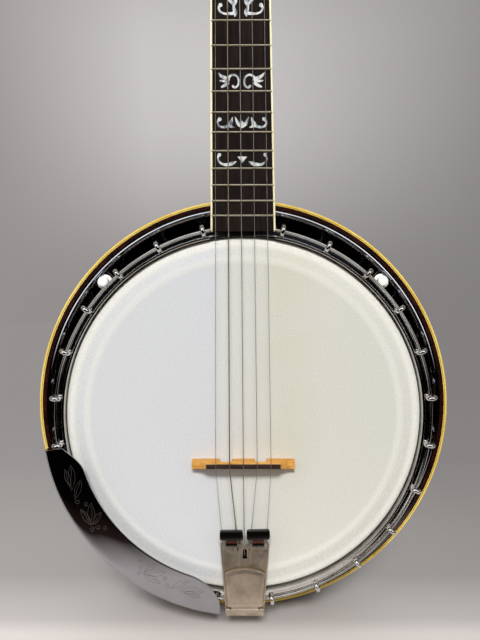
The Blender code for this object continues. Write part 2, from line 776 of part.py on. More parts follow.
def build_thumbscrews(pot, finish):
    """Screws that hold the flange and pot on the resonator's lugs."""
    shaft = THUMBSCREW_SHAFT / 2.0
    washer_back = FLANGE_FRONT - SEAT_GAP
    washer_front = washer_back - 1.0 * MM
    head_back = washer_front - THUMBSCREW_NECK_LENGTH
    head_front = head_back - THUMBSCREW_HEAD_LENGTH
    head = THUMBSCREW_HEAD / 2.0
    tip = FLANGE_BACK + SEAT_GAP + LUG_HEIGHT + 2.0 * MM
    profile = [
        (0.0, head_front),
        (head - 0.5 * MM, head_front),
        (head, head_front + 0.5 * MM),
        (head, head_back),
        (shaft, head_back),
        (shaft, washer_front),
        (THUMBSCREW_WASHER / 2.0, washer_front),
        (THUMBSCREW_WASHER / 2.0, washer_back),
        (shaft, washer_back),
        (shaft, tip),
        (0.0, tip),
    ]
    mesh = turned_mesh("thumbscrew", profile, SMALL_STEPS, closed=False)
    for number, angle in enumerate(thumbscrew_angles(), start=1):
        place = Matrix.Translation(on_circle(SLOT_CENTRE, angle))
        link_object(f"thumbscrew_{number}", mesh, pot, place, finish)


# Neck


def heel_section(along, grow=0.0):
    """The neck's half-round section at one place, as (x, y) points from treble to bass."""
    treble = treble_edge(along) + grow
    bass = bass_edge(max(along, 0.0)) - grow
    middle = (treble + bass) / 2.0
    half = (treble - bass) / 2.0
    depth = neck_depth(along) + grow
    heel = heel_share(along)
    power = 2.0 / (2.3 + 0.7 * heel)
    points = []
    count = 10
    for step in range(count + 1):
        turn = math.pi * step / count
        across = math.copysign(abs(math.cos(turn)) ** power, math.cos(turn))
        down = abs(math.sin(turn)) ** power
        narrow = 1.0 - HEEL_TAPER * heel * down
        x = middle + half * narrow * across
        points.append((x, NECK_TOP + (depth - NECK_TOP) * down))
    return points


def heel_share(along):
    """0 on the neck, 1 where the heel has its full depth."""
    share = (HEEL_START - along) / (HEEL_START - HEEL_FULL)
    return min(max(share, 0.0), 1.0)


def neck_depth(along):
    """Depth from the fingerboard's surface to the neck's back."""
    share = (along - HEEL_START) / (BOARD_LENGTH - HEEL_START)
    shaft = NECK_DEPTH_AT_HEEL + (NECK_DEPTH_AT_NUT - NECK_DEPTH_AT_HEEL) * max(share, 0.0)
    curve = 1.0 - math.sqrt(1.0 - heel_share(along) ** 2)
    return shaft + (HEEL_DEPTH - shaft) * curve


def neck_stations():
    """Places along the neck where its section is drawn, from the pot to the nut."""
    heel = [HEEL_FULL + (HEEL_START - HEEL_FULL) * share for share in (0.0, 0.1, 0.25, 0.45, 0.7, 1.0)]
    fifth = fret_place(5)
    span = SHOULDER_END - SHOULDER_START
    step_in = [fifth + SHOULDER_START + span * share for share in (0.0, 0.33, 0.67, 1.0)]
    end = BOARD_LENGTH + SEAT_GAP + NUT_THICKNESS
    return [-NECK_BELOW_BOARD_END] + heel + [fret_place(12)] + step_in + [end]


def build_neck(neck_frame, finish):
    """One-piece neck: heel, shaft and peghead, with the tuners' fixed housings on it."""
    shape = bmesh.new()
    rings = []
    for along in neck_stations():
        rings.append([shape.verts.new((x, y, along)) for x, y in heel_section(along)])
    for lower, upper in zip(rings, rings[1:]):
        for index in range(len(lower) - 1):
            shape.faces.new((lower[index], lower[index + 1], upper[index + 1], upper[index]))
        shape.faces.new((lower[-1], lower[0], upper[0], upper[-1]))
    shape.faces.new(rings[0])
    shape.faces.new(list(reversed(rings[-1])))
    neck = link_object("neck", mesh_from(shape, "neck"), neck_frame, finish=finish)

    to_pot = NECK_PLACE.inverted()
    seat = bmesh.new()
    clear = HOOP_OUTER + SEAT_GAP
    against = RIM_RADIUS + SEAT_GAP
    past_flesh_hoop = HOOP_BACK + FLESH_HOOP_HEIGHT + 4.0 * MM
    hub = FLANGE_SEAT_RADIUS + 2.0 * SEAT_GAP + FLANGE_HUB_WIDTH
    outline = [
        (RIM_INNER, BOARD_END_FRONT - OVERRUN),
        (clear, BOARD_END_FRONT - OVERRUN),
        (clear, past_flesh_hoop),
        (against, past_flesh_hoop),
        (against, FLANGE_FRONT - SEAT_GAP),
        (FLANGE_RADIUS + SEAT_GAP, FLANGE_FRONT - SEAT_GAP),
        (FLANGE_RADIUS + SEAT_GAP, FLANGE_BACK + SEAT_GAP),
        (hub, FLANGE_BACK + SEAT_GAP),
        (hub, RESONATOR_BACK),
        (RIM_INNER, RESONATOR_BACK),
    ]
    add_turned(seat, outline, place=to_pot)
    cut(neck, link_object("pot_seat", mesh_from(seat, "pot_seat"), neck_frame))

    to_peghead = to_pot @ PEGHEAD_PLACE
    peghead = bmesh.new()
    add_prism(peghead, peghead_outline(), 0.0, PEGHEAD_THICKNESS, to_peghead)
    cut(neck, link_object("peghead_blank", mesh_from(peghead, "peghead_blank"), neck_frame), "UNION")

    fittings = bmesh.new()
    bores = bmesh.new()
    back = PEGHEAD_THICKNESS
    for x, z in peg_positions():
        place = to_peghead @ Matrix.Translation((x, 0.0, z))
        profile = [
            (0.0, -COLLAR_HEIGHT),
            (COLLAR_DIAMETER / 2.0, -COLLAR_HEIGHT),
            (COLLAR_DIAMETER / 2.0, back - 1.0 * MM),
            (HOUSING_DIAMETER / 2.0, back - 1.0 * MM),
            (HOUSING_DIAMETER / 2.0, back + HOUSING_LENGTH - 3.0 * MM),
            (HOUSING_DIAMETER / 2.0 - 3.0 * MM, back + HOUSING_LENGTH),
            (0.0, back + HOUSING_LENGTH),
        ]
        add_turned(fittings, profile, SMALL_STEPS, place, closed=False)
        radius = POST_DIAMETER / 2.0 + RUNNING_GAP
        low = -COLLAR_HEIGHT - OVERRUN
        high = back + HOUSING_LENGTH + OVERRUN
        add_rod(bores, radius, low, high, place=place)
    side = fifth_peg_place()
    depth_in = 12.0 * MM
    add_rod(bores, FIFTH_PEG_SHAFT / 2.0 + RUNNING_GAP, -depth_in, 8.0 * MM, place=side)
    rod_hole = to_pot @ Matrix.Translation((0.0, ROD_DEPTH, 0.0)) @ UP_THE_POT
    low = RIM_INNER
    high = RIM_RADIUS + ROD_INTO_HEEL + 1.0 * MM
    add_rod(bores, ROD_DIAMETER / 2.0 + RUNNING_GAP, low, high, place=rod_hole)
    cut(neck, link_object("tuner_housings", mesh_from(fittings, "tuner_housings"), neck_frame), "UNION")
    cut(neck, link_object("neck_bores", mesh_from(bores, "neck_bores"), neck_frame))


def peghead_outline():
    """A waisted paddle with a rounded crown, in the peghead's own X and Z."""
    top = PEGHEAD_LENGTH
    half = NUT_HALF_WIDTH
    right = flowing(
        [
            (half, 0.0),
            (half + 1.0 * MM, 5.0 * MM),
            (half + 9.0 * MM, top * 0.10),
            (half + 19.5 * MM, top * 0.20),
            (half + 21.5 * MM, top * 0.38),
            (half + 18.0 * MM, top * 0.60),
            (half + 21.0 * MM, top * 0.80),
            (half + 14.0 * MM, top * 0.95),
            (5.0 * MM, top),
        ],
        per_span=3,
    )
    outline = [(point.x, point.y) for point in right]
    return outline + [(-x, z) for x, z in reversed(outline)]


def peg_positions():
    """Peghead tuners for strings one to four, first string on the treble side."""
    return [
        (PEG_SIDE, LOWER_PEG),
        (PEG_SIDE, UPPER_PEG),
        (-PEG_SIDE, UPPER_PEG),
        (-PEG_SIDE, LOWER_PEG),
    ]


def fifth_peg_place():
    """The fifth peg's axis, pointing out of the bass side, in the neck's frame."""
    along = fret_place(5) + FIFTH_PEG_PAST_FRET
    edge = bass_edge(along)
    return Matrix.Translation((edge, FIFTH_PEG_DEPTH, along)) @ Matrix.Rotation(
        math.radians(90.0), 4, "Z"
    )


def build_fingerboard(neck_frame, finish):
    """Bound fingerboard with its frets and the short string's own small nut."""
    fifth = fret_place(5)
    steps = 6
    span = SHOULDER_END - SHOULDER_START
    bass = [0.0] + [fifth + SHOULDER_START + span * step / steps for step in range(steps + 1)]
    bass.append(BOARD_LENGTH)
    outline = [(treble_edge(0.0), 0.0), (treble_edge(BOARD_LENGTH), BOARD_LENGTH)]
    outline += [(bass_edge(along), along) for along in reversed(bass)]
    mesh = prism_mesh("fingerboard", outline, 0.0, BOARD_THICKNESS)
    board = link_object("fingerboard", mesh, neck_frame, finish=finish)

    frets = bmesh.new()
    root = 0.4 * MM
    half = FRET_WIDTH / 2.0
    for number in range(1, FRET_COUNT + 1):
        along = fret_place(number)
        section = [
            (-half, root),
            (-half, -FRET_HEIGHT * 0.35),
            (-half * 0.45, -FRET_HEIGHT),
            (half * 0.45, -FRET_HEIGHT),
            (half, -FRET_HEIGHT * 0.35),
            (half, root),
        ]
        low = bass_edge(along) + NECK_BINDING
        high = treble_edge(along) - NECK_BINDING
        points = [(low, depth, along + across) for across, depth in section]
        draw_out(frets, points, (high - low, 0.0, 0.0))
    place = Matrix.Translation((FIFTH_NUT_X, 0.0, fifth + FIFTH_NUT_PAST_FRET))
    add_rod(frets, FIFTH_NUT_DIAMETER / 2.0, -FIFTH_NUT_HEIGHT, root, steps=8, place=place)
    cut(board, link_object("frets", mesh_from(frets, "frets"), neck_frame), "UNION")


def string_radius(string):
    return STRING_GAUGES[string - 1] / 2.0


def nut_x(string):
    """Strings one to four across the nut, first on the treble side."""
    return (2.5 - string) * NUT_SPACING


def bridge_x(string):
    return (3 - string) * BRIDGE_SPACING


def build_nut(neck_frame, finish):
    """Bone nut with a slot for each of the four long strings."""
    low = (-NUT_HALF_WIDTH, -NUT_HEIGHT, BOARD_LENGTH + SEAT_GAP)
    high = (NUT_HALF_WIDTH, BOARD_THICKNESS, BOARD_LENGTH + NUT_THICKNESS)
    shape = bmesh.new()
    add_box(shape, low, high)
    nut = link_object("nut", mesh_from(shape, "nut"), neck_frame, finish=finish)
    slots = bmesh.new()
    for string in range(1, 5):
        half = string_radius(string) + SEAT_GAP
        x = nut_x(string)
        floor = -STRING_OVER_NUT + string_radius(string) + SEAT_GAP
        low = (x - half, -NUT_HEIGHT - 2.0 * MM, BOARD_LENGTH - 3.0 * MM)
        high = (x + half, floor, BOARD_LENGTH + NUT_THICKNESS + 3.0 * MM)
        add_box(slots, low, high)
    cut(nut, link_object("nut_slots", mesh_from(slots, "nut_slots"), neck_frame))


def build_rod_cover(peghead_frame, finish):
    """Plain bell-shaped cover over the neck rod's adjuster."""
    foot = 3.0 * MM
    right = flowing(
        [
            (12.0 * MM, foot),
            (11.0 * MM, foot + 6.0 * MM),
            (6.5 * MM, foot + 18.0 * MM),
            (4.5 * MM, foot + 30.0 * MM),
            (1.0 * MM, foot + 36.0 * MM),
        ],
        per_span=3,
    )
    outline = [(point.x, point.y) for point in right]
    outline += [(-x, z) for x, z in reversed(outline)]
    front = -SEAT_GAP - COVER_THICKNESS
    mesh = prism_mesh("truss_rod_cover", outline, front, -SEAT_GAP)
    link_object("truss_rod_cover", mesh, peghead_frame, finish=finish)


# Tuners


def knob_profile(start):
    """The turned outline of a tuner button, from its stem outwards."""
    wide = KNOB_WIDTH / 2.0
    return [
        (wide * 0.45, start),
        (wide * 0.82, start + KNOB_LENGTH * 0.15),
        (wide, start + KNOB_LENGTH * 0.45),
        (wide * 0.85, start + KNOB_LENGTH * 0.8),
        (wide * 0.5, start + KNOB_LENGTH),
        (0.0, start + KNOB_LENGTH),
    ]


def flatten_knob(verts, start):
    """Buttons are turned round, then pressed flat for the fingers."""
    for corner in verts:
        if corner.co.y > start - 0.01 * MM:
            corner.co.x *= KNOB_FLATNESS


def build_tuners(peghead_frame, metal, pearl):
    """Planetary tuners: the post in front and its button behind share one axis."""
    post = POST_DIAMETER / 2.0
    waist = POST_WAIST / 2.0
    profile = [
        (0.0, -POST_HEIGHT),
        (post * 0.7, -POST_HEIGHT),
        (post, -POST_HEIGHT + 1.2 * MM),
        (post, -STRING_ON_POST - 3.5 * MM),
        (waist, -STRING_ON_POST - 1.5 * MM),
        (waist, -STRING_ON_POST + 1.5 * MM),
        (post, -STRING_ON_POST + 3.5 * MM),
        (post, POST_TAIL),
        (0.0, POST_TAIL),
    ]
    post_mesh = turned_mesh("tuner_post", profile, SMALL_STEPS, closed=False)

    stem = STEM_DIAMETER / 2.0
    inside = POST_TAIL + RUNNING_GAP
    out = PEGHEAD_THICKNESS + HOUSING_LENGTH
    start = out + STEM_LENGTH
    outline = [(0.0, inside), (stem, inside), (stem, start)]
    outline += knob_profile(start)
    shape = bmesh.new()
    verts = add_turned(shape, outline, SMALL_STEPS, closed=False)
    flatten_knob(verts, start + 0.1 * MM)
    knob_mesh = mesh_from(shape, "tuner_button")
    for string, (x, z) in enumerate(peg_positions(), start=1):
        place = Matrix.Translation((x, 0.0, z))
        link_object(f"tuner_post_{string}", post_mesh, peghead_frame, place, metal)
        link_object(f"tuner_button_{string}", knob_mesh, peghead_frame, place, pearl)


def build_fifth_peg(neck_frame, finish):
    """Friction peg for the short string: shaft, spool and button in one."""
    shaft = FIFTH_PEG_SHAFT / 2.0
    spool = POST_DIAMETER / 2.0
    start = 13.0 * MM
    profile = [
        (0.0, -11.5 * MM),
        (shaft, -11.5 * MM),
        (shaft, 1.0 * MM),
        (spool + 1.2 * MM, 1.0 * MM),
        (spool + 1.2 * MM, 2.2 * MM),
        (spool, 3.0 * MM),
        (spool, 8.0 * MM),
        (spool + 2.0 * MM, 8.8 * MM),
        (spool + 2.0 * MM, 10.6 * MM),
        (shaft + 0.8 * MM, 11.0 * MM),
        (shaft + 0.8 * MM, start),
    ]
    profile += knob_profile(start)
    shape = bmesh.new()
    verts = add_turned(shape, profile, SMALL_STEPS, closed=False)
    flatten_knob(verts, start + 0.1 * MM)
    mesh = mesh_from(shape, "fifth_peg")
    link_object("fifth_peg", mesh, neck_frame, fifth_peg_place(), finish)


# Bridge and strings


def build_bridge(pot, finish):
    """Three-footed maple bridge, scooped down at both ends, thin along the top."""
    top = -BRIDGE_HEIGHT
    half = BRIDGE_LENGTH / 2.0
    top_half = BRIDGE_TOP_LENGTH / 2.0
    end = -BRIDGE_END_HEIGHT
    foot = -SEAT_GAP
    outline = [(half, foot), (half, end)]
    scoop_steps = 5
    for step in range(1, scoop_steps + 1):
        turn = math.radians(90.0) * step / scoop_steps
        x = half - (half - top_half) * math.sin(turn)
        outline.append((x, end + (top - end) * (1.0 - math.cos(turn))))
    outline += [(-x, y) for x, y in reversed(outline)]
    arch = []
    arch_steps = 6
    middle = (BRIDGE_GAP_INNER + BRIDGE_GAP_OUTER) / 2.0
    half_gap = (BRIDGE_GAP_OUTER - BRIDGE_GAP_INNER) / 2.0
    for step in range(arch_steps + 1):
        turn = math.pi * step / arch_steps
        straight = BRIDGE_GAP_HEIGHT - half_gap
        arch.append((half_gap * math.cos(turn), foot - straight - half_gap * math.sin(turn)))
    left = [(-middle - half_gap, foot)]
    left += [(-middle - x, y) for x, y in arch]
    left += [(-middle + half_gap, foot)]
    outline += left + [(-x, y) for x, y in reversed(left)]

    shape = bmesh.new()
    front = BRIDGE_Z + BRIDGE_TOP_WIDTH / 2.0
    far_side = draw_out(shape, [(x, y, front) for x, y in outline], (0.0, 0.0, -BRIDGE_TOP_WIDTH))
    for corner in far_side:
        share = (corner.co.y - top) / (foot - top)
        width = BRIDGE_TOP_WIDTH + (BRIDGE_FOOT_WIDTH - BRIDGE_TOP_WIDTH) * share
        corner.co.z = front - width
    link_object("bridge", mesh_from(shape, "bridge"), pot, finish=finish)


def build_strings(pot, finish):
    """Each string along its real way: peg, nut, bridge, tailpiece notch."""
    for string in range(1, 6):
        radius = string_radius(string)
        if string < 5:
            peg_x, peg_z = peg_positions()[string - 1]
            inward = -math.copysign(POST_WAIST / 2.0 + radius + SEAT_GAP, peg_x)
            post_end = PEGHEAD_PLACE @ Vector((peg_x + inward, -STRING_ON_POST, peg_z))
            past_nut = BOARD_LENGTH + SEAT_GAP + NUT_THICKNESS
            nut_back = NECK_PLACE @ Vector((nut_x(string), -STRING_OVER_NUT, past_nut))
            nut_front = NECK_PLACE @ Vector((nut_x(string), -STRING_OVER_NUT, BOARD_LENGTH))
            start = [post_end, nut_back, nut_front]
        else:
            fifth = fret_place(5)
            over = -FIFTH_NUT_HEIGHT - SEAT_GAP - radius
            along = fifth + FIFTH_PEG_PAST_FRET
            spool_x = bass_edge(along) - 5.0 * MM
            lift = POST_DIAMETER / 2.0 + SEAT_GAP + radius
            post_end = NECK_PLACE @ Vector((spool_x, FIFTH_PEG_DEPTH - lift, along))
            pip = fifth + FIFTH_NUT_PAST_FRET
            edge = FIFTH_NUT_DIAMETER / 2.0 + SEAT_GAP
            pip_back = NECK_PLACE @ Vector((FIFTH_NUT_X, over, pip + edge))
            pip_front = NECK_PLACE @ Vector((FIFTH_NUT_X, over, pip - edge))
            start = [post_end, pip_back, pip_front]
        bridge = Vector((bridge_x(string), -BRIDGE_HEIGHT - SEAT_GAP - radius, BRIDGE_Z))
        bridge_back = bridge - Vector((0.0, 0.0, BRIDGE_TOP_WIDTH / 2.0))
        notch_x = TAIL_X + NOTCH_POSITIONS[string - 1]
        entry = Vector((notch_x, TAIL_FRONT - 0.8 * MM, TAIL_TOP_Z))
        under = Vector((notch_x, TAIL_BACK + radius + SEAT_GAP, TAIL_TOP_Z - NOTCH_DEPTH + 0.6 * MM))
        end = under - Vector((NOTCH_POSITIONS[string - 1] * 0.04, 0.0, 4.0 * MM))
        points = start + [bridge, bridge_back, entry, under, end]
        curve = rod_curve(f"string_{string}", points, diameter=2.0 * radius)
        link_object(f"string_{string}", curve, pot, finish=finish)


# Coordinator rod, tailpiece and damper


def build_rod(pot, finish):
    """Rod across the pot from the heel to the tailpiece, with its nuts inside the rim."""
    rod = ROD_DIAMETER / 2.0
    nut = ROD_NUT / 2.0
    wall = math.sqrt(RIM_INNER ** 2 - nut ** 2) * RING_FLAT - SEAT_GAP
    tail = -TAIL_END_Z + TAIL_PLATE + STRAP_OVERHANG
    heel = RIM_RADIUS + ROD_INTO_HEEL
    profile = [
        (0.0, -heel),
        (rod, -heel),
        (rod, -wall),
        (nut, -wall),
        (nut, -wall + ROD_NUT_LENGTH),
        (rod, -wall + ROD_NUT_LENGTH),
        (rod, wall - ROD_NUT_LENGTH),
        (nut, wall - ROD_NUT_LENGTH),
        (nut, wall),
        (rod, wall),
        (rod, tail),
        (0.0, tail),
    ]
    place = Matrix.Translation((0.0, ROD_DEPTH, 0.0)) @ DOWN_THE_POT
    mesh = turned_mesh("coordinator_rod", profile, SMALL_STEPS, closed=False)
    link_object("coordinator_rod", mesh, pot, place, finish)


def tail_half(z):
    """The tailpiece narrows from its mouth to its tail."""
    share = (z - TAIL_TOP_Z) / (TAIL_END_Z - TAIL_TOP_Z)
    return TAIL_TOP_HALF + (TAIL_END_HALF - TAIL_TOP_HALF) * share


def tail_outline(inset, top, bottom):
    return [
        (tail_half(top) - inset, top),
        (-tail_half(top) + inset, top),
        (-tail_half(bottom) + inset, bottom),
        (tail_half(bottom) - inset, bottom),
    ]


def build_tailpiece(tail_frame, finish):
    """Bent sheet base: notched mouth, side rails, hinge ears and the strap to the rod."""
    low_z = TAIL_END_Z + TAIL_PLATE
    mesh = prism_mesh(
        "tailpiece_base",
        tail_outline(0.0, TAIL_TOP_Z, TAIL_END_Z),
        TAIL_FRONT,
        TAIL_FRONT + TAIL_RAIL,
    )
    base = link_object("tailpiece_base", mesh, tail_frame, finish=finish)

    strap = bmesh.new()
    strap_back = ROD_DEPTH + STRAP_OVERHANG
    wall_half = TAIL_END_HALF
    outline = [
        (-wall_half, TAIL_BACK),
        (wall_half, TAIL_BACK),
        (wall_half, TAIL_WALL_END),
        (STRAP_HALF, TAIL_WALL_END + 5.0 * MM),
        (STRAP_HALF, strap_back),
        (-STRAP_HALF, strap_back),
        (-STRAP_HALF, TAIL_WALL_END + 5.0 * MM),
        (-wall_half, TAIL_WALL_END),
    ]
    draw_out(strap, [(x, y, TAIL_END_Z) for x, y in outline], (0.0, 0.0, TAIL_PLATE))

    ears = bmesh.new()
    ear_half = KNUCKLE_DIAMETER / 2.0
    ear_inner = KNUCKLE_HALF + 2.0 * SEAT_GAP
    ear_outer = tail_half(HINGE_Z) - 0.4 * MM
    across = Matrix.Rotation(math.radians(-90.0), 4, "Z")
    for side in (1.0, -1.0):
        profile = [(HINGE_Z + ear_half, TAIL_BACK - 0.2 * MM)]
        for step in range(7):
            turn = math.pi * step / 6.0
            depth = HINGE_DEPTH - ear_half * math.sin(turn)
            profile.append((HINGE_Z + ear_half * math.cos(turn), depth))
        profile.append((HINGE_Z - ear_half, TAIL_BACK - 0.2 * MM))
        points = [(side * ear_inner, depth, z) for z, depth in profile]
        draw_out(ears, points, (side * (ear_outer - ear_inner), 0.0, 0.0))
    pin = bmesh.new()
    pin_half = ear_outer - 0.6 * MM
    pin_place = Matrix.Translation((0.0, HINGE_DEPTH, HINGE_Z)) @ across
    add_rod(pin, HINGE_PIN / 2.0, -pin_half, pin_half, steps=8, place=pin_place)

    pocket = bmesh.new()
    pocket_outline = tail_outline(TAIL_PLATE, TAIL_TOP_Z + 5.0 * MM, low_z)
    add_prism(pocket, pocket_outline, TAIL_BACK, TAIL_FRONT + TAIL_RAIL + 2.0 * MM)
    notches = bmesh.new()
    for place in NOTCH_POSITIONS:
        low = (place - NOTCH_WIDTH / 2.0, TAIL_FRONT - 2.0 * MM, TAIL_TOP_Z - NOTCH_DEPTH)
        high = (place + NOTCH_WIDTH / 2.0, TAIL_BACK + 2.0 * MM, TAIL_TOP_Z + 5.0 * MM)
        add_box(notches, low, high)
    rod_line = Matrix.Translation((-TAIL_X, ROD_DEPTH, 0.0)) @ DOWN_THE_POT
    low = -TAIL_END_Z - TAIL_PLATE - OVERRUN
    high = -TAIL_END_Z + OVERRUN
    add_rod(notches, ROD_DIAMETER / 2.0 + RUNNING_GAP, low, high, place=rod_line)

    cut(base, link_object("base_pocket", mesh_from(pocket, "base_pocket"), tail_frame))
    cut(base, link_object("hanger_strap", mesh_from(strap, "hanger_strap"), tail_frame), "UNION")
    cut(base, link_object("hinge_ears", mesh_from(ears, "hinge_ears"), tail_frame), "UNION")
    cut(base, link_object("hinge_pin", mesh_from(pin, "hinge_pin"), tail_frame), "UNION")
    cut(base, link_object("mouth_notches", mesh_from(notches, "mouth_notches"), tail_frame))

    nut = bmesh.new()
    front = -TAIL_END_Z + SEAT_GAP
    back = front + STRAP_OVERHANG - 1.0 * MM
    bore = ROD_DIAMETER / 2.0 + RUNNING_GAP
    add_hexagon_nut(nut, bore, ROD_NUT, front, back)
    link_object("tailpiece_nut", mesh_from(nut, "tailpiece_nut"), tail_frame, rod_line, finish)


def build_tail_cover(hinge_frame, finish):
    """Arched clamshell cover that swings on the base's hinge pin."""
    front = COVER_FRONT - HINGE_DEPTH
    back = TAIL_FRONT - SEAT_GAP - 0.1 * MM - HINGE_DEPTH
    arch_steps = 6
    outline = []
    for step in range(arch_steps + 1):
        share = 2.0 * step / arch_steps - 1.0
        x = -COVER_TOP_HALF * share
        z = COVER_ARCH_Z + (COVER_SIDE_Z - COVER_ARCH_Z) * share * share - HINGE_Z
        outline.append((x, z))
    end = COVER_END_Z - HINGE_Z
    outline += [(-COVER_END_HALF, end), (COVER_END_HALF, end)]
    cover = link_object(
        "tailpiece_cover", prism_mesh("tailpiece_cover", outline, front, back), hinge_frame, finish=finish
    )
    pocket = bmesh.new()
    inner = [(x * 0.93, end + (z - end) * 0.93 + COVER_WALL * 0.5) for x, z in outline[:-2]]
    inner += [(-COVER_END_HALF + COVER_WALL, end + COVER_WALL * 1.6)]
    inner += [(COVER_END_HALF - COVER_WALL, end + COVER_WALL * 1.6)]
    add_prism(pocket, inner, front + COVER_WALL, back + 2.0 * MM)
    knuckle = bmesh.new()
    across = Matrix.Rotation(math.radians(-90.0), 4, "Z")
    add_rod(knuckle, KNUCKLE_DIAMETER / 2.0, -KNUCKLE_HALF, KNUCKLE_HALF, place=across)
    tongue = bmesh.new()
    tongue_half = KNUCKLE_HALF - 0.3 * MM
    tongue_end = (tongue_half, front + COVER_WALL, end + 0.4 * MM)
    add_box(tongue, (-tongue_half, front + 0.05 * MM, 0.0), tongue_end)
    bore = bmesh.new()
    reach = KNUCKLE_HALF + 4.0 * MM
    add_rod(bore, HINGE_PIN / 2.0 + RUNNING_GAP, -reach, reach, place=across)
    cut(cover, link_object("cover_pocket", mesh_from(pocket, "cover_pocket"), hinge_frame))
    cut(cover, link_object("cover_tongue", mesh_from(tongue, "cover_tongue"), hinge_frame), "UNION")
    cut(cover, link_object("cover_knuckle", mesh_from(knuckle, "cover_knuckle"), hinge_frame), "UNION")
    cut(cover, link_object("cover_bore", mesh_from(bore, "cover_bore"), hinge_frame))


def build_damper(tail_frame, finish):
    """Leather strap under the tailpiece; its two tabs carry rubber pads over the strings."""
    strap_back = DAMPER_STRAP_DEPTH + DAMPER_STRAP_THICKNESS
    half = DAMPER_SPACING + DAMPER_STEM_WIDTH / 2.0
    base = bmesh.new()
    low = (-half, DAMPER_STRAP_DEPTH, DAMPER_STRAP_END_Z)
    add_box(base, low, (half, strap_back, DAMPER_STRAP_END_Z + DAMPER_STRAP_WIDTH))
    damper = link_object("string_damper", mesh_from(base, "string_damper"), tail_frame, finish=finish)

    tabs = bmesh.new()
    pads = bmesh.new()
    pad_mid = DAMPER_PAD_TOP_Z - DAMPER_PAD_HEIGHT / 2.0
    tab_top = DAMPER_PAD_TOP_Z - DAMPER_PAD_HEIGHT + 1.5 * MM
    tab_end = DAMPER_STRAP_END_Z + 2.0 * MM
    mouth = TAIL_TOP_Z + 0.6 * MM
    profile = [
        (tab_top, DAMPER_PAD_BACK - 1.0 * MM),
        (mouth, DAMPER_PAD_BACK - 1.0 * MM),
        (mouth, DAMPER_STRAP_DEPTH + 0.2 * MM),
        (tab_end, DAMPER_STRAP_DEPTH + 0.2 * MM),
        (tab_end, strap_back - 0.2 * MM),
        (tab_top, strap_back - 0.2 * MM),
    ]
    for side in (1.0, -1.0):
        centre = side * DAMPER_SPACING
        left = centre - DAMPER_STEM_WIDTH / 2.0
        draw_out(tabs, [(left, depth, z) for z, depth in profile], (DAMPER_STEM_WIDTH, 0.0, 0.0))
        outline = round_box(DAMPER_PAD_WIDTH / 2.0, DAMPER_PAD_HEIGHT / 2.0, 2.2 * MM)
        place = Matrix.Translation((centre, 0.0, pad_mid))
        add_prism(pads, outline, DAMPER_PAD_FRONT, DAMPER_PAD_BACK, place)
    cut(damper, link_object("damper_tabs", mesh_from(tabs, "damper_tabs"), tail_frame), "UNION")
    cut(damper, link_object("damper_pads", mesh_from(pads, "damper_pads"), tail_frame), "UNION")


# Armrest


def armrest_inner(angle):
    """The inner edge swings out to the hoop in a soft curve at both ends."""
    from_start = min((angle - ARMREST_START) / 9.0, 1.0)
    from_end = min((ARMREST_END - angle) / 12.0, 1.0)
    start_share = 0.55 + 0.45 * math.sin(math.radians(90.0) * max(from_start, 0.0))
    end_share = 0.25 + 0.75 * math.sqrt(math.sin(math.radians(90.0) * max(from_end, 0.0)))
    share = min(start_share, end_share)
    return ARMREST_OUTER - (ARMREST_OUTER - ARMREST_INNER) * share


def build_armrest(pot, finish):
    """Arched plate over the hoop, with two legs that hook under the hoop's back edge."""
    rolled_back = 2.5 * MM
    shoulder = ARMREST_CREST + 2.0 * MM
    shape = bmesh.new()
    rows = []
    for step in range(ARMREST_STEPS + 1):
        share = step / ARMREST_STEPS
        angle = -(ARMREST_START + (ARMREST_END - ARMREST_START) * share)
        inner = armrest_inner(-angle)
        span = ARMREST_OUTER - ARMREST_SHOULDER - inner
        section = [
            (ARMREST_OUTER, rolled_back),
            (ARMREST_OUTER - 0.2 * MM, shoulder + 4.0 * MM),
            (ARMREST_OUTER - ARMREST_SHOULDER, shoulder),
            (inner + span * 0.68, ARMREST_CREST + 0.4 * MM),
            (inner + span * 0.38, ARMREST_CREST),
            (inner, ARMREST_CREST + 1.4 * MM),
        ]
        rows.append([shape.verts.new(on_circle(radius, angle, depth)) for radius, depth in section])
    for row, following in zip(rows, rows[1:]):
        for index in range(len(row) - 1):
            shape.faces.new((row[index], row[index + 1], following[index + 1], following[index]))
    armrest = link_object("armrest", mesh_from(shape, "armrest"), pot, finish=finish)
    wall = armrest.modifiers.new("sheet", "SOLIDIFY")
    wall.thickness = ARMREST_THICKNESS
    wall.offset = -1.0
    wall.use_even_offset = True

    legs = bmesh.new()
    inner = HOOP_OUTER + 2.0 * SEAT_GAP
    outer = inner + ARMREST_LEG_THICKNESS
    lip_front = HOOP_BACK + SEAT_GAP
    lip_back = lip_front + ARMREST_LEG_THICKNESS
    lip_inner = HEAD_RADIUS + FLESH_HOOP_WIDTH + 2.0 * SEAT_GAP
    outline = [
        (outer, ARMREST_CREST + 1.2 * MM),
        (outer, lip_back),
        (lip_inner, lip_back),
        (lip_inner, lip_front),
        (inner, lip_front),
        (inner, ARMREST_CREST + 1.2 * MM),
    ]
    for slot in ARMREST_LEG_SLOTS:
        place = around_pot(-slot_angle(slot))
        half = ARMREST_LEG_WIDTH / 2.0
        draw_out(legs, [(x, y, -half) for x, y in outline], (0.0, 0.0, 2.0 * half), place)
    cut(armrest, link_object("armrest_legs", mesh_from(legs, "armrest_legs"), pot), "UNION")


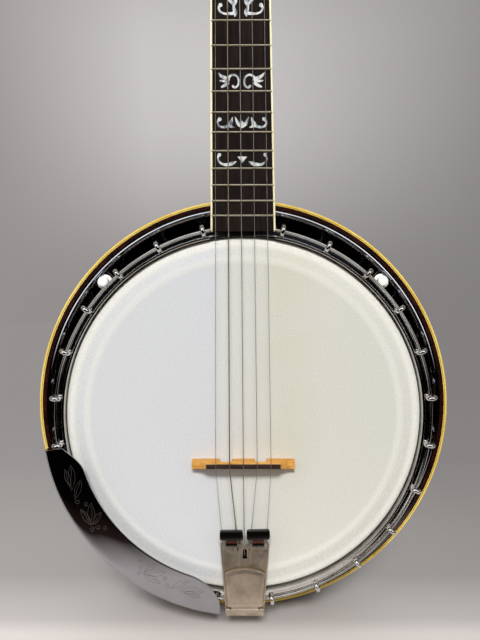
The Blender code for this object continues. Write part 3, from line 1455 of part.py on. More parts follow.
def build_banjo():
    clear_scene()
    chrome = make_material("bright nickel plate", (0.62, 0.62, 0.63), 0.12, 1.0)
    dark_chrome = make_material("polished flange plate", (0.50, 0.51, 0.54), 0.1, 1.0)
    aged = make_material("aged nickel", (0.42, 0.37, 0.31), 0.38, 1.0)
    frosted = make_material("frosted film", (0.78, 0.78, 0.74), 0.7)
    bronze = make_material("bell bronze", (0.70, 0.52, 0.30), 0.25, 1.0)
    maple = make_material("laminated maple", (0.66, 0.42, 0.20), 0.4)
    bridge_maple = make_material("raw maple", (0.80, 0.55, 0.24), 0.55)
    mahogany = make_material("stained mahogany", (0.10, 0.022, 0.014), 0.12)
    neck_wood = make_material("neck mahogany", (0.14, 0.035, 0.02), 0.18)
    cream = make_material("cream celluloid", (0.90, 0.78, 0.42), 0.3)
    rosewood = make_material("rosewood", (0.022, 0.014, 0.011), 0.45)
    bone = make_material("bone", (0.85, 0.81, 0.68), 0.4)
    black = make_material("black lacquer", (0.01, 0.01, 0.01), 0.2)
    pearl = make_material("pearl celluloid", (0.80, 0.78, 0.70), 0.25)
    steel = make_material("string wire", (0.45, 0.43, 0.40), 0.3, 1.0)
    rubber = make_material("rubber and leather", (0.02, 0.014, 0.012), 0.5)

    pot = make_frame("pot", Matrix.Translation(POT_ORIGIN))
    neck_frame = make_frame("neck_line", NECK_PLACE, pot)
    peghead_frame = make_frame("peghead_line", PEGHEAD_PLACE, pot)
    tail_frame = make_frame("tail_line", Matrix.Translation((TAIL_X, 0.0, 0.0)), pot)
    hinge_place = Matrix.Translation((TAIL_X, HINGE_DEPTH, HINGE_Z))
    hinge_frame = make_frame("cover_hinge", hinge_place, pot)

    build_head(pot, frosted)
    build_tone_ring(pot, bronze)
    build_rim(pot, maple)
    build_hoop(pot, chrome)
    build_flange(pot, dark_chrome)
    build_hooks(pot, chrome)
    pocket = build_resonator(pot, mahogany)
    build_binding(pot, cream, pocket)
    build_thumbscrews(pot, chrome)
    build_neck(neck_frame, neck_wood)
    build_fingerboard(neck_frame, rosewood)
    build_nut(neck_frame, bone)
    build_rod_cover(peghead_frame, black)
    build_tuners(peghead_frame, chrome, pearl)
    build_fifth_peg(neck_frame, chrome)
    build_bridge(pot, bridge_maple)
    build_strings(pot, steel)
    build_rod(pot, chrome)
    build_tailpiece(tail_frame, aged)
    build_tail_cover(hinge_frame, aged)
    build_damper(tail_frame, rubber)
    build_armrest(pot, chrome)


build_banjo()
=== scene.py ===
"""Looks for the upright five-string resonator banjo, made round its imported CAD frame.

Sizes are in millimetres and are turned to metres where a piece is drawn. Each piece is
drawn in the frame of what carries it (pot, neck, peghead or tailpiece) and then set down.
In the pot, depth is measured back from the head and angles clockwise from the neck.
"""
import math

import bmesh
import bpy
from mathutils import Matrix, Vector


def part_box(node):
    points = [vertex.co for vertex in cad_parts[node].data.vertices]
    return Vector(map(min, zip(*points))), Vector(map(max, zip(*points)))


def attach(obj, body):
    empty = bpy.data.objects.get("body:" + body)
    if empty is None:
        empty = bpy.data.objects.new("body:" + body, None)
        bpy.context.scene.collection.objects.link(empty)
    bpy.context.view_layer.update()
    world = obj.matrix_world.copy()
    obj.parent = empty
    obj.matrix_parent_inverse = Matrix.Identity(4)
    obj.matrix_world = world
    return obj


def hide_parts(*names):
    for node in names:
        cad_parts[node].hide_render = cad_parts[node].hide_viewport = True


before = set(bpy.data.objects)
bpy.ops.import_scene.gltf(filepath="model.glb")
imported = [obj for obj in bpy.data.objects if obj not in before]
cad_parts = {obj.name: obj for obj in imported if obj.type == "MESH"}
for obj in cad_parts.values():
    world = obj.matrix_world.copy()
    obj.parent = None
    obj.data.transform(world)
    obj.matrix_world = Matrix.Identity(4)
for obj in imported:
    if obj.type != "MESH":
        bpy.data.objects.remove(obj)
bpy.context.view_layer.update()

MM = 0.001
MERGE = 0.0004 * MM
ROOT = "banjo"
TURNS = 144

# Sizes shared with the CAD, in mm
HEAD_RADIUS = 139.7
HOOP_OUTER = 147.9
HOOP_FRONT = -2.0
HOOP_BACK = 9.0
FLANGE_FRONT = 49.5
FLANGE_BACK = 52.0
FLANGE_RADIUS = 169.0
HOOK_CIRCLE = 150.0
HOOK_TIP_CIRCLE = 144.1
SLOT_CENTRE = 160.0
SLOT_HALF_HEIGHT = 5.5
SLOT_HALF_LENGTH = 16.3
SCREW_ANGLES = (48.2825, 135.1205, -48.2825, -135.1205)
HOOK_FIRST = 12.1
HOOK_PITCH = 14.473
HOOKS_PER_SIDE = 12
RESONATOR_INNER = 169.7
RESONATOR_RADIUS = 175.7
RESONATOR_FRONT = 42.9
RESONATOR_BACK = 99.9
RESONATOR_INSIDE = 93.4
BOARD_LENGTH = 495.618
NECK_END = BOARD_LENGTH + 5.3
BOARD_THICKNESS = 5.5
BOARD_END_TREBLE = 24.9
BOARD_END_BASS = -24.6
FIFTH_EDGE = -24.5
NUT_HALF = 15.9
NUT_THICKNESS = 5.0
SCALE_LENGTH = 673.1
FRET_COUNT = 22
EDGE_BINDING = 1.5
# Past the fifth fret the bass side steps in, and the fifth string's pip and peg stand
STEP_START = 4.5
STEP_LENGTH = 7.0
PIP_PAST_FRET = 3.0
PIP_X = -20.3
PEG_PAST_FRET = 24.0
PEG_DEPTH = 8.6
NECK_TOP = 5.55
HEEL_START = 90.0
HEEL_FULL = 36.0
HEEL_DEPTH = 84.0
PEGHEAD_LENGTH = 160.0
PEGHEAD_THICKNESS = 14.5
PEG_PLACES = ((24.5, 44.0), (24.5, 104.0), (-24.5, 104.0), (-24.5, 44.0))
NUT_SPACING = 8.15
BRIDGE_SPACING = 10.45
STRING_OVER_NUT = 1.4
STRING_ON_POST = -9.0
STRING_GAUGES = (0.25, 0.30, 0.41, 0.58, 0.25)
# Strings are drawn a little thick, so that they show as unbroken lines
STRING_DRAWN = 1.5
BRIDGE_Z = -35.335
BRIDGE_HALF = 39.95
BRIDGE_HEIGHT = 16.2
ROD_DEPTH = 36.0
TAIL_X = 1.0
TAIL_FRONT = -7.6
TAIL_BACK = -6.2
TAIL_TOP = -99.0
TAIL_END = -155.5
TAIL_NOTCHES = (16.7, 4.2, -0.4, -5.4, -17.0)
HINGE_Y = -9.9
HINGE_Z = -149.6
EAR_RADIUS = 1.9
PAD_MIDDLE = -89.1
ARM_START = 99.3
ARM_END = 173.0
ARM_OUTER = 156.0
ARM_INNER = 129.0
ARM_CREST = -10.2
ARM_THICKNESS = 1.2
LEG_ANGLES = (-120.6475, -149.5935)
ENGRAVED_RADIUS = 142.0
FINEST_STROKE = 0.12
POT_MIDDLE = (0.0, -21.481, -643.479)


def put(x, y, z):
    return Matrix.Translation((x * MM, y * MM, z * MM))


def lean(degrees, axis):
    return Matrix.Rotation(math.radians(degrees), 4, axis)


def round_pot(angle):
    """Turns what is drawn above the pot's middle to its angle clockwise from the neck."""
    return lean(angle, "Y")


# Frames that the pieces are drawn in
POT = put(*POT_MIDDLE)
HEEL_Z = 143.5
HEEL_JOINT = put(0.0, -6.5, HEEL_Z) @ lean(-1.83, "X")
NECK = POT @ HEEL_JOINT
PEGHEAD = NECK @ put(0.0, 5.3, NECK_END) @ lean(-13.0, "X")
TAIL = POT @ put(TAIL_X, 0.0, 0.0)
HINGE = TAIL @ put(0.0, HINGE_Y, HINGE_Z)
FLOOR_Z = (POT_MIDDLE[2] - RESONATOR_RADIUS - 0.2) * MM
# Brightness of the white arch that only polished surfaces see
ARCH_LIGHT = 1.8


# Camera, as the photograph was taken: in front of the head, a little above its middle
def set_camera():
    bpy.ops.object.camera_add(
        location=(-0.00123, -0.437456, -0.551736),
        rotation=(1.53099642, 0.0021, 0.00266160),
    )
    camera = bpy.context.object
    camera.name = "camera"
    camera.data.sensor_width = 36.0
    camera.data.lens = 30.115
    camera.data.clip_start = 0.01
    bpy.context.scene.camera = camera


# Workbench: small steps that every piece goes through
def free_hands():
    """Leaves edit mode and lets go of everything."""
    held = bpy.context.object
    if held and held.mode != "OBJECT":
        bpy.ops.object.mode_set(mode="OBJECT")
    bpy.ops.object.select_all(action="DESELECT")


def hold(piece):
    free_hands()
    piece.select_set(True)
    bpy.context.view_layer.objects.active = piece


def draw(points, closed=True):
    """Draws a line: a small plane is merged to its middle and extruded from point to point."""
    free_hands()
    start = Vector(points[0]) * MM
    bpy.ops.mesh.primitive_plane_add(size=MM, location=start, enter_editmode=True)
    bpy.ops.mesh.merge(type="CENTER")
    route = list(points) + ([points[0]] if closed else [])
    for here, there in zip(route, route[1:]):
        move = (Vector(there) - Vector(here)) * MM
        bpy.ops.mesh.extrude_region_move(TRANSFORM_OT_translate={"value": move})
    close_seams()


def close_seams():
    bpy.ops.mesh.select_all(action="SELECT")
    bpy.ops.mesh.remove_doubles(threshold=MERGE)


def face_outwards():
    close_seams()
    bpy.ops.mesh.normals_make_consistent(inside=False)


def take(name):
    """Takes the piece out of edit mode with its place in its mesh."""
    bpy.ops.object.mode_set(mode="OBJECT")
    piece = bpy.context.object
    piece.name = name
    piece.data.name = name
    bpy.ops.object.transform_apply(location=True, rotation=True, scale=True)
    return piece


def turn(name, outline, steps=TURNS):
    """Turns (radius, depth) points round the Y axis; an outline clear of the axis is closed."""
    draw([(radius, depth, 0.0) for radius, depth in outline], closed=outline[0][0] > 0.0)
    full = 2.0 * math.pi
    bpy.ops.mesh.spin(steps=steps, angle=full, center=(0.0, 0.0, 0.0), axis=(0.0, 1.0, 0.0))
    face_outwards()
    return take(name)


def slab(name, points, depth):
    """Draws an outline, fills it and pulls it out along depth."""
    draw(points)
    bpy.ops.mesh.edge_face_add()
    pull = Vector(depth) * MM
    bpy.ops.mesh.extrude_region_move(TRANSFORM_OT_translate={"value": pull})
    face_outwards()
    return take(name)


def plate(name, outline, front, back):
    """A flat piece that faces the player: (x, z) outline, from front to back depth."""
    return slab(name, [(x, front, z) for x, z in outline], (0.0, back - front, 0.0))


def block(name, low, high, edge=0.0, segments=2):
    """A squared block between two corners, with its edges eased."""
    outline = [(low[0], low[2]), (high[0], low[2]), (high[0], high[2]), (low[0], high[2])]
    piece = plate(name, outline, low[1], high[1])
    if edge:
        soften(piece, edge, segments)
    return piece


def draw_through(name, sections, closed=True):
    """Carries a section from place to place, as a builder's rings: extrude, then move."""
    draw(sections[0], closed)
    if closed:
        bpy.ops.mesh.edge_face_add()
    piece = bpy.context.object
    shift = piece.matrix_world.inverted()
    for earlier, later in zip(sections, sections[1:]):
        bpy.ops.mesh.extrude_region_move()
        mesh = bmesh.from_edit_mesh(piece.data)
        spots = [shift @ (Vector(here) * MM) for here in earlier]
        goals = [shift @ (Vector(there) * MM) for there in later]
        for corner in mesh.verts:
            if corner.select:
                reach = [(spot - corner.co).length_squared for spot in spots]
                corner.co = goals[reach.index(min(reach))]
        bmesh.update_edit_mesh(piece.data)
    face_outwards()
    return take(name)


def wire(name, points, thickness, roundness=2, closed=False):
    """A round wire along points: the line is made a curve, given its thickness, then a mesh."""
    draw(points, closed)
    take(name)
    bpy.ops.object.convert(target="CURVE")
    curve = bpy.context.object.data
    curve.bevel_depth = thickness / 2.0 * MM
    curve.bevel_resolution = roundness
    curve.use_fill_caps = not closed
    bpy.ops.object.convert(target="MESH")
    bpy.ops.object.mode_set(mode="EDIT")
    face_outwards()
    return take(name)


def use_modifier(piece, kind, **settings):
    hold(piece)
    step = piece.modifiers.new("step", kind)
    for key, value in settings.items():
        setattr(step, key, value)
    bpy.ops.object.modifier_apply(modifier=step.name)
    return piece


def cut(piece, cutter, operation="DIFFERENCE"):
    use_modifier(piece, "BOOLEAN", object=cutter, operation=operation, solver="EXACT")
    mesh = cutter.data
    bpy.data.objects.remove(cutter)
    bpy.data.meshes.remove(mesh)
    return piece


def soften(piece, width, segments=2, angle=32.0):
    return use_modifier(
        piece,
        "BEVEL",
        width=width * MM,
        segments=segments,
        limit_method="ANGLE",
        angle_limit=math.radians(angle),
        use_clamp_overlap=True,
    )


def pick_faces(piece, chosen):
    """Enters edit mode and selects the faces that chosen(middle in mm, normal) accepts."""
    hold(piece)
    bpy.ops.object.mode_set(mode="EDIT")
    bpy.ops.mesh.select_mode(type="FACE")
    bpy.ops.mesh.select_all(action="DESELECT")
    mesh = bmesh.from_edit_mesh(piece.data)
    for face in mesh.faces:
        face.select_set(bool(chosen(face.calc_center_median() / MM, face.normal)))
    bmesh.update_edit_mesh(piece.data)


def end_edit():
    bpy.ops.mesh.select_mode(type="VERT")
    bpy.ops.object.mode_set(mode="OBJECT")


def round_front_edges(piece, depth, width, segments):
    """Rounds the sharp edges that lie in the front plane at a depth."""
    hold(piece)
    bpy.ops.object.mode_set(mode="EDIT")
    bpy.ops.mesh.select_mode(type="EDGE")
    bpy.ops.mesh.select_all(action="DESELECT")
    mesh = bmesh.from_edit_mesh(piece.data)
    for edge in mesh.edges:
        level = all(abs(corner.co.y / MM - depth) < 0.02 for corner in edge.verts)
        sharp = len(edge.link_faces) == 2 and edge.calc_face_angle() > math.radians(50.0)
        edge.select_set(level and sharp)
    bmesh.update_edit_mesh(piece.data)
    bpy.ops.mesh.bevel(offset=width * MM, segments=segments, affect="EDGES", clamp_overlap=True)
    end_edit()


def sink_front(piece, border, drop):
    """Insets the front of a plate and presses the middle in."""
    pick_faces(piece, lambda middle, normal: normal.y < -0.95)
    bpy.ops.mesh.inset(thickness=border * MM, depth=0.0)
    bpy.ops.mesh.inset(thickness=abs(drop) * 0.7 * MM, depth=-drop * MM)
    end_edit()


def set_down(piece, place):
    """Moves a piece into the world from the frame that it was drawn in."""
    hold(piece)
    piece.matrix_world = place @ piece.matrix_world
    bpy.ops.object.transform_apply(location=True, rotation=True, scale=True)
    return piece


def copied(piece, name, place):
    """A copy with its own mesh, moved to its place."""
    twin = piece.copy()
    twin.data = piece.data.copy()
    twin.name = name
    twin.data.name = name
    bpy.context.scene.collection.objects.link(twin)
    return set_down(twin, place)


def discard(piece):
    bpy.data.objects.remove(piece)


def mirrored(half):
    """A half outline of flat points, followed back along its mirror image."""
    return list(half) + [(-x, y) for x, y in reversed(half)]


def joined(pieces, name):
    hold(pieces[0])
    for piece in pieces[1:]:
        piece.select_set(True)
    bpy.ops.object.join()
    whole = bpy.context.object
    whole.name = name
    whole.data.name = name
    return whole


def hand_over(piece, finish, nodes=(), body=ROOT, angle=35.0):
    """Smooths a finished piece, gives it its finish and hands it to its body."""
    hold(piece)
    bpy.ops.object.shade_smooth_by_angle(angle=math.radians(angle))
    piece.data.materials.clear()
    piece.data.materials.append(finish)
    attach(piece, body)
    if nodes:
        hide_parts(*nodes)
    return piece


def spread(pattern, name, places, finish, node, body=ROOT, angle=35.0):
    """Hands over a numbered copy of a pattern at each place, then clears the pattern away."""
    for number, place in enumerate(places, start=1):
        piece = copied(pattern, name.format(number), place)
        hand_over(piece, finish, [node.format(number)], body.format(number), angle)
    discard(pattern)


def bar(name, radius, low, high, steps, ease=0.0):
    """A round bar along the depth axis, its rims eased where asked."""
    outline = [(0.0, low), (radius, low), (radius, high), (0.0, high)]
    return turn(name, eased(outline, ease, False) if ease else outline, steps)


def eased(outline, radius, closed=True, steps=3):
    """Rounds the corners of an outline of flat points."""
    points = [Vector(point) for point in outline]
    last = len(points) - 1
    result = []
    for index, corner in enumerate(points):
        before = points[index - 1] - corner
        after = points[(index + 1) % len(points)] - corner
        at_end = not closed and index in (0, last)
        if at_end or before.angle(after) > math.radians(165.0):
            result.append(tuple(corner))
            continue
        back = radius / math.tan(before.angle(after) / 2.0)
        back = min(back, before.length * 0.45, after.length * 0.45)
        first = corner + before.normalized() * back
        second = corner + after.normalized() * back
        for step in range(steps + 1):
            share = step / steps
            mixed = first.lerp(corner, share).lerp(corner.lerp(second, share), share)
            result.append(tuple(mixed))
    return result


def flowing(points, per_span=5, closed=False):
    """A smooth line through points (Catmull-Rom)."""
    spots = [Vector(point) for point in points]
    count = len(spots)
    result = []
    spans = count if closed else count - 1
    for index in range(spans):
        if closed:
            a, b, c, d = (spots[(index + shift) % count] for shift in (-1, 0, 1, 2))
        else:
            a = spots[max(index - 1, 0)]
            b = spots[index]
            c = spots[index + 1]
            d = spots[min(index + 2, count - 1)]
        for step in range(per_span):
            t = step / per_span
            mixed = 2.0 * b + (c - a) * t + (2.0 * a - 5.0 * b + 4.0 * c - d) * t**2
            result.append((mixed + (3.0 * b - a - 3.0 * c + d) * t**3) * 0.5)
    if not closed:
        result.append(spots[-1])
    return result


def ribbon(spine, per_span=5):
    """The outline of a tapered stroke from (x, z, width) points, with round ends."""
    line = flowing(spine, per_span)
    left, right = [], []
    for index, spot in enumerate(line):
        ahead = line[min(index + 1, len(line) - 1)]
        behind = line[max(index - 1, 0)]
        along = Vector((ahead.x - behind.x, ahead.y - behind.y)).normalized()
        half = max(spot.z, FINEST_STROKE) / 2.0
        side = Vector((-along.y, along.x)) * half
        middle = Vector((spot.x, spot.y))
        left.append(middle + side)
        right.append(middle - side)
    tip = middle + along * half * 0.8
    back = (line[1] - line[0]).to_2d().normalized() * -max(line[0].z, FINEST_STROKE) * 0.4
    start = line[0].to_2d() + back
    return [tuple(point) for point in [start, *left, tip, *reversed(right)]]


# Finishes
def linear(code):
    """An sRGB hex value as the linear colour that Blender works in."""
    values = []
    for place in (1, 3, 5):
        value = int(code[place : place + 2], 16) / 255.0
        values.append(value / 12.92 if value <= 0.04045 else ((value + 0.055) / 1.055) ** 2.4)
    return (*values, 1.0)


def per(size):
    """Texture scale for a real size in millimetres."""
    return 1.0 / (size * MM)


def add(tree, kind, feeds=(), stops=(), out=0, **settings):
    """Adds one node. Feeds go to its inputs, in order or by name: a value, or another output."""
    node = tree.nodes.new("ShaderNode" + kind)
    for key, value in settings.items():
        setattr(node, key, value)
    for key, value in feeds.items() if isinstance(feeds, dict) else enumerate(feeds):
        if isinstance(value, bpy.types.NodeSocket):
            tree.links.new(value, node.inputs[key])
        else:
            node.inputs[key].default_value = value
    while stops and len(node.color_ramp.elements) < len(stops):
        node.color_ramp.elements.new(0.5)
    for index, (spot, code) in enumerate(stops):
        node.color_ramp.elements[index].position = spot
        node.color_ramp.elements[index].color = linear(code)
    return node.outputs[out] if node.outputs else node


def new_finish(name, colour, roughness, metallic=0.0, **more):
    """A material with its steady values on the shader's own sockets."""
    material = bpy.data.materials.new(name)
    material.use_nodes = True
    tree = material.node_tree
    shader = tree.nodes["Principled BSDF"]
    shader.inputs["Base Color"].default_value = linear(colour)
    shader.inputs["Roughness"].default_value = roughness
    shader.inputs["Metallic"].default_value = metallic
    for key, value in more.items():
        shader.inputs[key.replace("_", " ")].default_value = value
    return material, tree, shader


def stretched(tree, stretch=(1.0, 1.0, 1.0), centre=(0.0, 0.0, 0.0)):
    """Object coordinates, moved so that centre (mm) is zero, then stretched."""
    where = add(tree, "TexCoord", out="Object")
    move = tuple(-value * MM * scale for value, scale in zip(centre, stretch))
    return add(tree, "Mapping", {"Vector": where, "Location": move, "Scale": stretch})


def dress(tree, shader, colour=None, rough=None, relief=None):
    """Joins a pattern's colour, roughness and bump to the shader."""
    for socket, output in (("Base Color", colour), ("Roughness", rough), ("Normal", relief)):
        if output:
            tree.links.new(output, shader.inputs[socket])


def plated(name, colour, dull, gloss, worn, patch, wave=0.0):
    """Plated or polished metal: cloudy handling marks in colour and gloss, faint buffing."""
    material, tree, shader = new_finish(name, colour, gloss, 1.0)
    where = stretched(tree)
    cloud = {"Vector": where, "Scale": per(patch), "Detail": 4.0, "Roughness": 0.6}
    cloud = add(tree, "TexNoise", cloud)
    share = add(tree, "MapRange", (cloud, 0.42, 0.68, 0.0, 1.0))
    body = add(tree, "ValToRGB", (share,), ((0.0, colour), (1.0, dull)))
    fine = add(tree, "TexNoise", {"Vector": where, "Scale": per(patch * 0.12), "Detail": 2.0})
    rough = add(tree, "MapRange", (fine, 0.35, 0.7, gloss, worn))
    relief = None
    if wave:
        swell = add(tree, "TexNoise", {"Vector": where, "Scale": per(patch * 0.5), "Detail": 2.0})
        relief = add(tree, "Bump", {"Height": swell, "Distance": wave * MM, "Strength": 1.0})
    dress(tree, shader, body, rough, relief)
    return material


def grained(
    name, dark, middle, light, stretch, ring, pore, gloss, coat=0.0, relief=0.0, shine=0.5
):
    """Sawn wood: wavy growth lines, short dark pores and a slow change of tone."""
    material, tree, shader = new_finish(
        name, middle, gloss, Coat_Weight=coat, Coat_Roughness=0.05, Specular_IOR_Level=shine
    )
    where = stretched(tree, stretch)
    lines = {"Vector": where, "Scale": per(ring), "Detail": 5.0, "Roughness": 0.62}
    lines = add(tree, "TexNoise", lines)
    tone = add(tree, "ValToRGB", (lines,), ((0.3, dark), (0.5, middle), (0.72, light)))
    pores = {"Vector": where, "Scale": per(pore), "Detail": 2.0, "Roughness": 0.7}
    pores = add(tree, "TexNoise", pores)
    open_pore = add(tree, "MapRange", (pores, 0.56, 0.66, 0.0, 0.75))
    tone = add(tree, "Mix", {0: open_pore, 6: tone, 7: linear(dark)}, out=2, data_type="RGBA")
    rough = add(tree, "MapRange", (pores, 0.4, 0.7, gloss, gloss + 0.12))
    sunk = None
    if relief:
        sunk = add(tree, "Bump", {"Height": pores, "Distance": -relief * MM, "Strength": 0.6})
    dress(tree, shader, tone, rough, sunk)
    return material


def frosted_film():
    """Polyester film with a sprayed white coat: matt and faintly gritty, creamier in a ring
    where the tone ring has rubbed it, lighter near the rim as a painted highlight where the
    film rolls over the crown, yellowed by hands right of the strings."""
    material, tree, shader = new_finish("frosted_polyester_film", "#dcdcd9", 0.62)
    # Distances from the head's middle, in metres
    where = stretched(tree, centre=POT_MIDDLE)
    across, upright = (add(tree, "SeparateXYZ", (where,), out=axis) for axis in "XZ")
    flat = add(tree, "CombineXYZ", {"X": across, "Z": upright})
    radius = add(tree, "VectorMath", (flat,), out="Value", operation="LENGTH")
    share = add(tree, "MapRange", (across, -0.11, 0.11, 0.0, 1.0))
    sides = ((0.0, "#d6d7d7"), (0.38, "#d5d6d8"), (0.47, "#d7d6d0"))
    sides += ((0.55, "#d6d5ce"), (0.66, "#d7d5ca"), (1.0, "#d6d5cb"))
    body = add(tree, "ValToRGB", (share,), sides)
    slow = add(tree, "TexNoise", {"Vector": where, "Scale": per(45.0), "Detail": 3.0})
    beside = add(tree, "Math", (across, 0.034), operation="SUBTRACT")
    beside = add(tree, "Math", (beside,), operation="ABSOLUTE")
    stain = add(tree, "MapRange", (beside, 0.004, 0.034, 1.0, 0.0))
    upper = add(tree, "MapRange", (upright, -0.06, -0.015, 0.0, 1.0))
    patchy = add(tree, "MapRange", (slow, 0.3, 0.7, 0.2, 0.75))
    stain = add(tree, "Math", (stain, upper), operation="MULTIPLY")
    stain = add(tree, "Math", (stain, patchy), operation="MULTIPLY")
    warm = add(tree, "ValToRGB", (slow,), ((0.3, "#d2d0bd"), (0.7, "#cfcdb8")))
    body = add(tree, "Mix", {0: stain, 6: body, 7: warm}, out=2, data_type="RGBA")
    # Towards cream: at the ring that the tone ring has rubbed, a little over the slope beyond it,
    # and most near the rim, where the lightening is a painted highlight on the film's crown roll
    ring = add(tree, "MapRange", (radius, 0.1150, 0.1395, 0.0, 1.0))
    rub_and_crown_highlight = ((0.0, "#000000"), (0.15, "#000000"), (0.26, "#b0b0b0"), (0.36, "#b0b0b0"))
    rub_and_crown_highlight += ((0.46, "#505050"), (0.64, "#505050"), (0.78, "#e7e7e7"), (1.0, "#e7e7e7"))
    worn = add(tree, "ValToRGB", (ring,), rub_and_crown_highlight)
    rubbed = {0: worn, 6: body, 7: linear("#eeece3")}
    body = add(tree, "Mix", rubbed, out=2, data_type="RGBA")
    grit = {"Vector": where, "Scale": per(1.1), "Detail": 2.0, "Roughness": 0.6}
    grit = add(tree, "TexNoise", grit)
    speck = add(tree, "ValToRGB", (grit,), ((0.3, "#ececec"), (0.7, "#ffffff")))
    speckled = {0: 1.0, 6: body, 7: speck}
    body = add(tree, "Mix", speckled, out=2, data_type="RGBA", blend_type="MULTIPLY")
    fuzz = add(tree, "TexNoise", {"Vector": where, "Scale": per(0.7), "Detail": 2.0})
    relief = add(tree, "Bump", {"Height": fuzz, "Distance": 0.02 * MM, "Strength": 0.7})
    dress(tree, shader, body, None, relief)
    return material


def pearl(name, light, middle, shade, patch):
    """Mother-of-pearl or its celluloid copy: cloudy plates of silver and cream, polished."""
    material, tree, shader = new_finish(name, light, 0.2, Coat_Weight=0.3, Coat_Roughness=0.05)
    where = stretched(tree, (1.0, 1.0, 0.55))
    swirl = {"Vector": where, "Scale": per(patch), "Detail": 3.0, "Distortion": 1.6}
    swirl = add(tree, "TexNoise", swirl)
    cells = {"Vector": where, "Scale": per(patch * 0.8)}
    cells = add(tree, "TexVoronoi", cells, out="Distance")
    share = add(tree, "Math", (swirl, cells), operation="ADD")
    share = add(tree, "Math", (share, 0.62), operation="MULTIPLY")
    plates = ((0.34, shade), (0.5, middle), (0.68, light))
    dress(tree, shader, add(tree, "ValToRGB", (share,), plates))
    return material


def celluloid(name, colour, deep, gloss=0.28):
    """Cream celluloid, aged: long faint streaks like ivory grain, lightly polished."""
    material, tree, shader = new_finish(name, colour, gloss, Specular_IOR_Level=0.12)
    where = stretched(tree, (1.0, 1.0, 0.3))
    streak = add(tree, "TexNoise", {"Vector": where, "Scale": per(14.0), "Detail": 2.0})
    body = add(tree, "ValToRGB", (streak,), ((0.3, deep), (0.66, colour)))
    wear = add(tree, "TexNoise", {"Vector": where, "Scale": per(6.0), "Detail": 2.0})
    dress(tree, shader, body, add(tree, "MapRange", (wear, 0.3, 0.7, gloss, gloss + 0.14)))
    return material


def lacquered(name, colour, lift, gloss, patch):
    """Sprayed lacquer over a filled ground: deep, with a faint orange-peel wave."""
    material, tree, shader = new_finish(name, colour, gloss, Coat_Weight=0.8, Coat_Roughness=0.04)
    where = stretched(tree)
    cloud = add(tree, "TexNoise", {"Vector": where, "Scale": per(patch), "Detail": 3.0})
    body = add(tree, "ValToRGB", (cloud,), ((0.3, colour), (0.7, lift)))
    peel = add(tree, "TexNoise", {"Vector": where, "Scale": per(2.5), "Detail": 2.0})
    relief = add(tree, "Bump", {"Height": peel, "Distance": 0.01 * MM, "Strength": 0.5})
    dress(tree, shader, body, None, relief)
    return material


def soft_goods(name, colour, lift, gloss, grain, relief):
    """Leather or moulded rubber: a pebbled skin with slightly paler high spots."""
    material, tree, shader = new_finish(name, colour, gloss)
    where = stretched(tree)
    pebbles = {"Vector": where, "Scale": per(grain), "Detail": 3.0, "Roughness": 0.65}
    pebbles = add(tree, "TexNoise", pebbles)
    body = add(tree, "ValToRGB", (pebbles,), ((0.35, colour), (0.7, lift)))
    raised = add(tree, "Bump", {"Height": pebbles, "Distance": relief * MM, "Strength": 0.7})
    dress(tree, shader, body, None, raised)
    return material


# The head: matt white, a little gritty, with a pale rubbed ring, a painted highlight
# near its rim and a yellowed right side
FILM = frosted_film()
# Nickel plate over brass, buffed: bright, with dull clouds where hands touch it
NICKEL = plated("bright_nickel_plate", "#dcdad7", "#c2beb9", 0.05, 0.13, 26.0)
# The flange's plate is a mirror: black from the dark room, with a white line along its rim
FLANGE_METAL = plated("polished_flange_plate", "#c4c8ce", "#a8adb5", 0.05, 0.1, 34.0)
# Tailpiece: old nickel gone warm and cloudy, no longer a mirror
OLD_NICKEL = plated("aged_nickel", "#cbbca9", "#ab9d8c", 0.36, 0.5, 16.0, 0.02)
# Armrest: heavy bright plate, nearly a mirror
ARM_METAL = plated("armrest_chrome", "#a8a6ab", "#9e9ca1", 0.03, 0.06, 60.0)
# Engraver's cut: the burin leaves a rough groove that stays duller than the plate
ENGRAVED = plated("graver_cut", "#8a8581", "#716c69", 0.4, 0.55, 3.0)
# Tone ring: nickel rubbed thin, so that the bell bronze shows yellow through it
BRONZE = plated("nickelled_bell_bronze", "#cfc4b0", "#b3a283", 0.12, 0.24, 20.0)
# Strings: plain steel wire looks grey and soft; the wound fourth is browner and ribbed
STEEL = plated("string_steel", "#b8b2a9", "#a09a91", 0.42, 0.5, 14.0)
WOUND = plated("wound_string", "#b3a48c", "#8d7e68", 0.42, 0.55, 1.2, 0.05)
# Frets: german silver, worn warm and satiny by the strings
FRET_METAL = plated("german_silver", "#fbf3dc", "#eadcb8", 0.3, 0.42, 9.0)
# Rosewood: dark brown, pores as fine dashes along the neck
ROSEWOOD = grained(
    "rosewood", "#0d0a09", "#1a1412", "#2b211d", (1.0, 1.0, 0.05), 1.6, 0.8, 0.6, 0.0, 0.05, 0.12
)
# Resonator: mahogany stained nearly black-red under thick gloss lacquer
MAHOGANY = grained(
    "stained_mahogany", "#0d0403", "#1f0b08", "#3a1610", (0.3, 1.0, 1.0), 9.0, 1.3, 0.22, 1.0
)
# Neck: red-brown mahogany with long grain under the same gloss lacquer
NECK_WOOD = grained(
    "neck_mahogany", "#170806", "#2d120d", "#4a2117", (1.0, 1.0, 0.06), 4.0, 1.0, 0.2, 1.0
)
# Rim: maple stained a warm brown, its plies running round the pot
RIM_WOOD = grained(
    "rim_maple", "#4a2716", "#6d3c22", "#8a5230", (1.0, 0.12, 1.0), 3.0, 0.8, 0.3, 0.6
)
# Bridge: raw maple, pale amber with tiny brown flecks, and an ebony top strip
MAPLE = grained(
    "raw_maple", "#a9742f", "#d49b4f", "#e0b070", (0.12, 1.0, 1.0), 1.7, 0.5, 0.7, 0.0, 0.02, 0.05
)
EBONY = grained(
    "ebony_strip", "#1b1310", "#2d211b", "#463329", (0.1, 1.0, 1.0), 1.2, 0.5, 0.38
)
# Bindings: pale cream along the board, aged to yellow amber round the resonator
CREAM = celluloid("cream_celluloid", "#faf1cf", "#efe2b2")
AMBER = celluloid("aged_cream_celluloid", "#efd373", "#dfb84e")
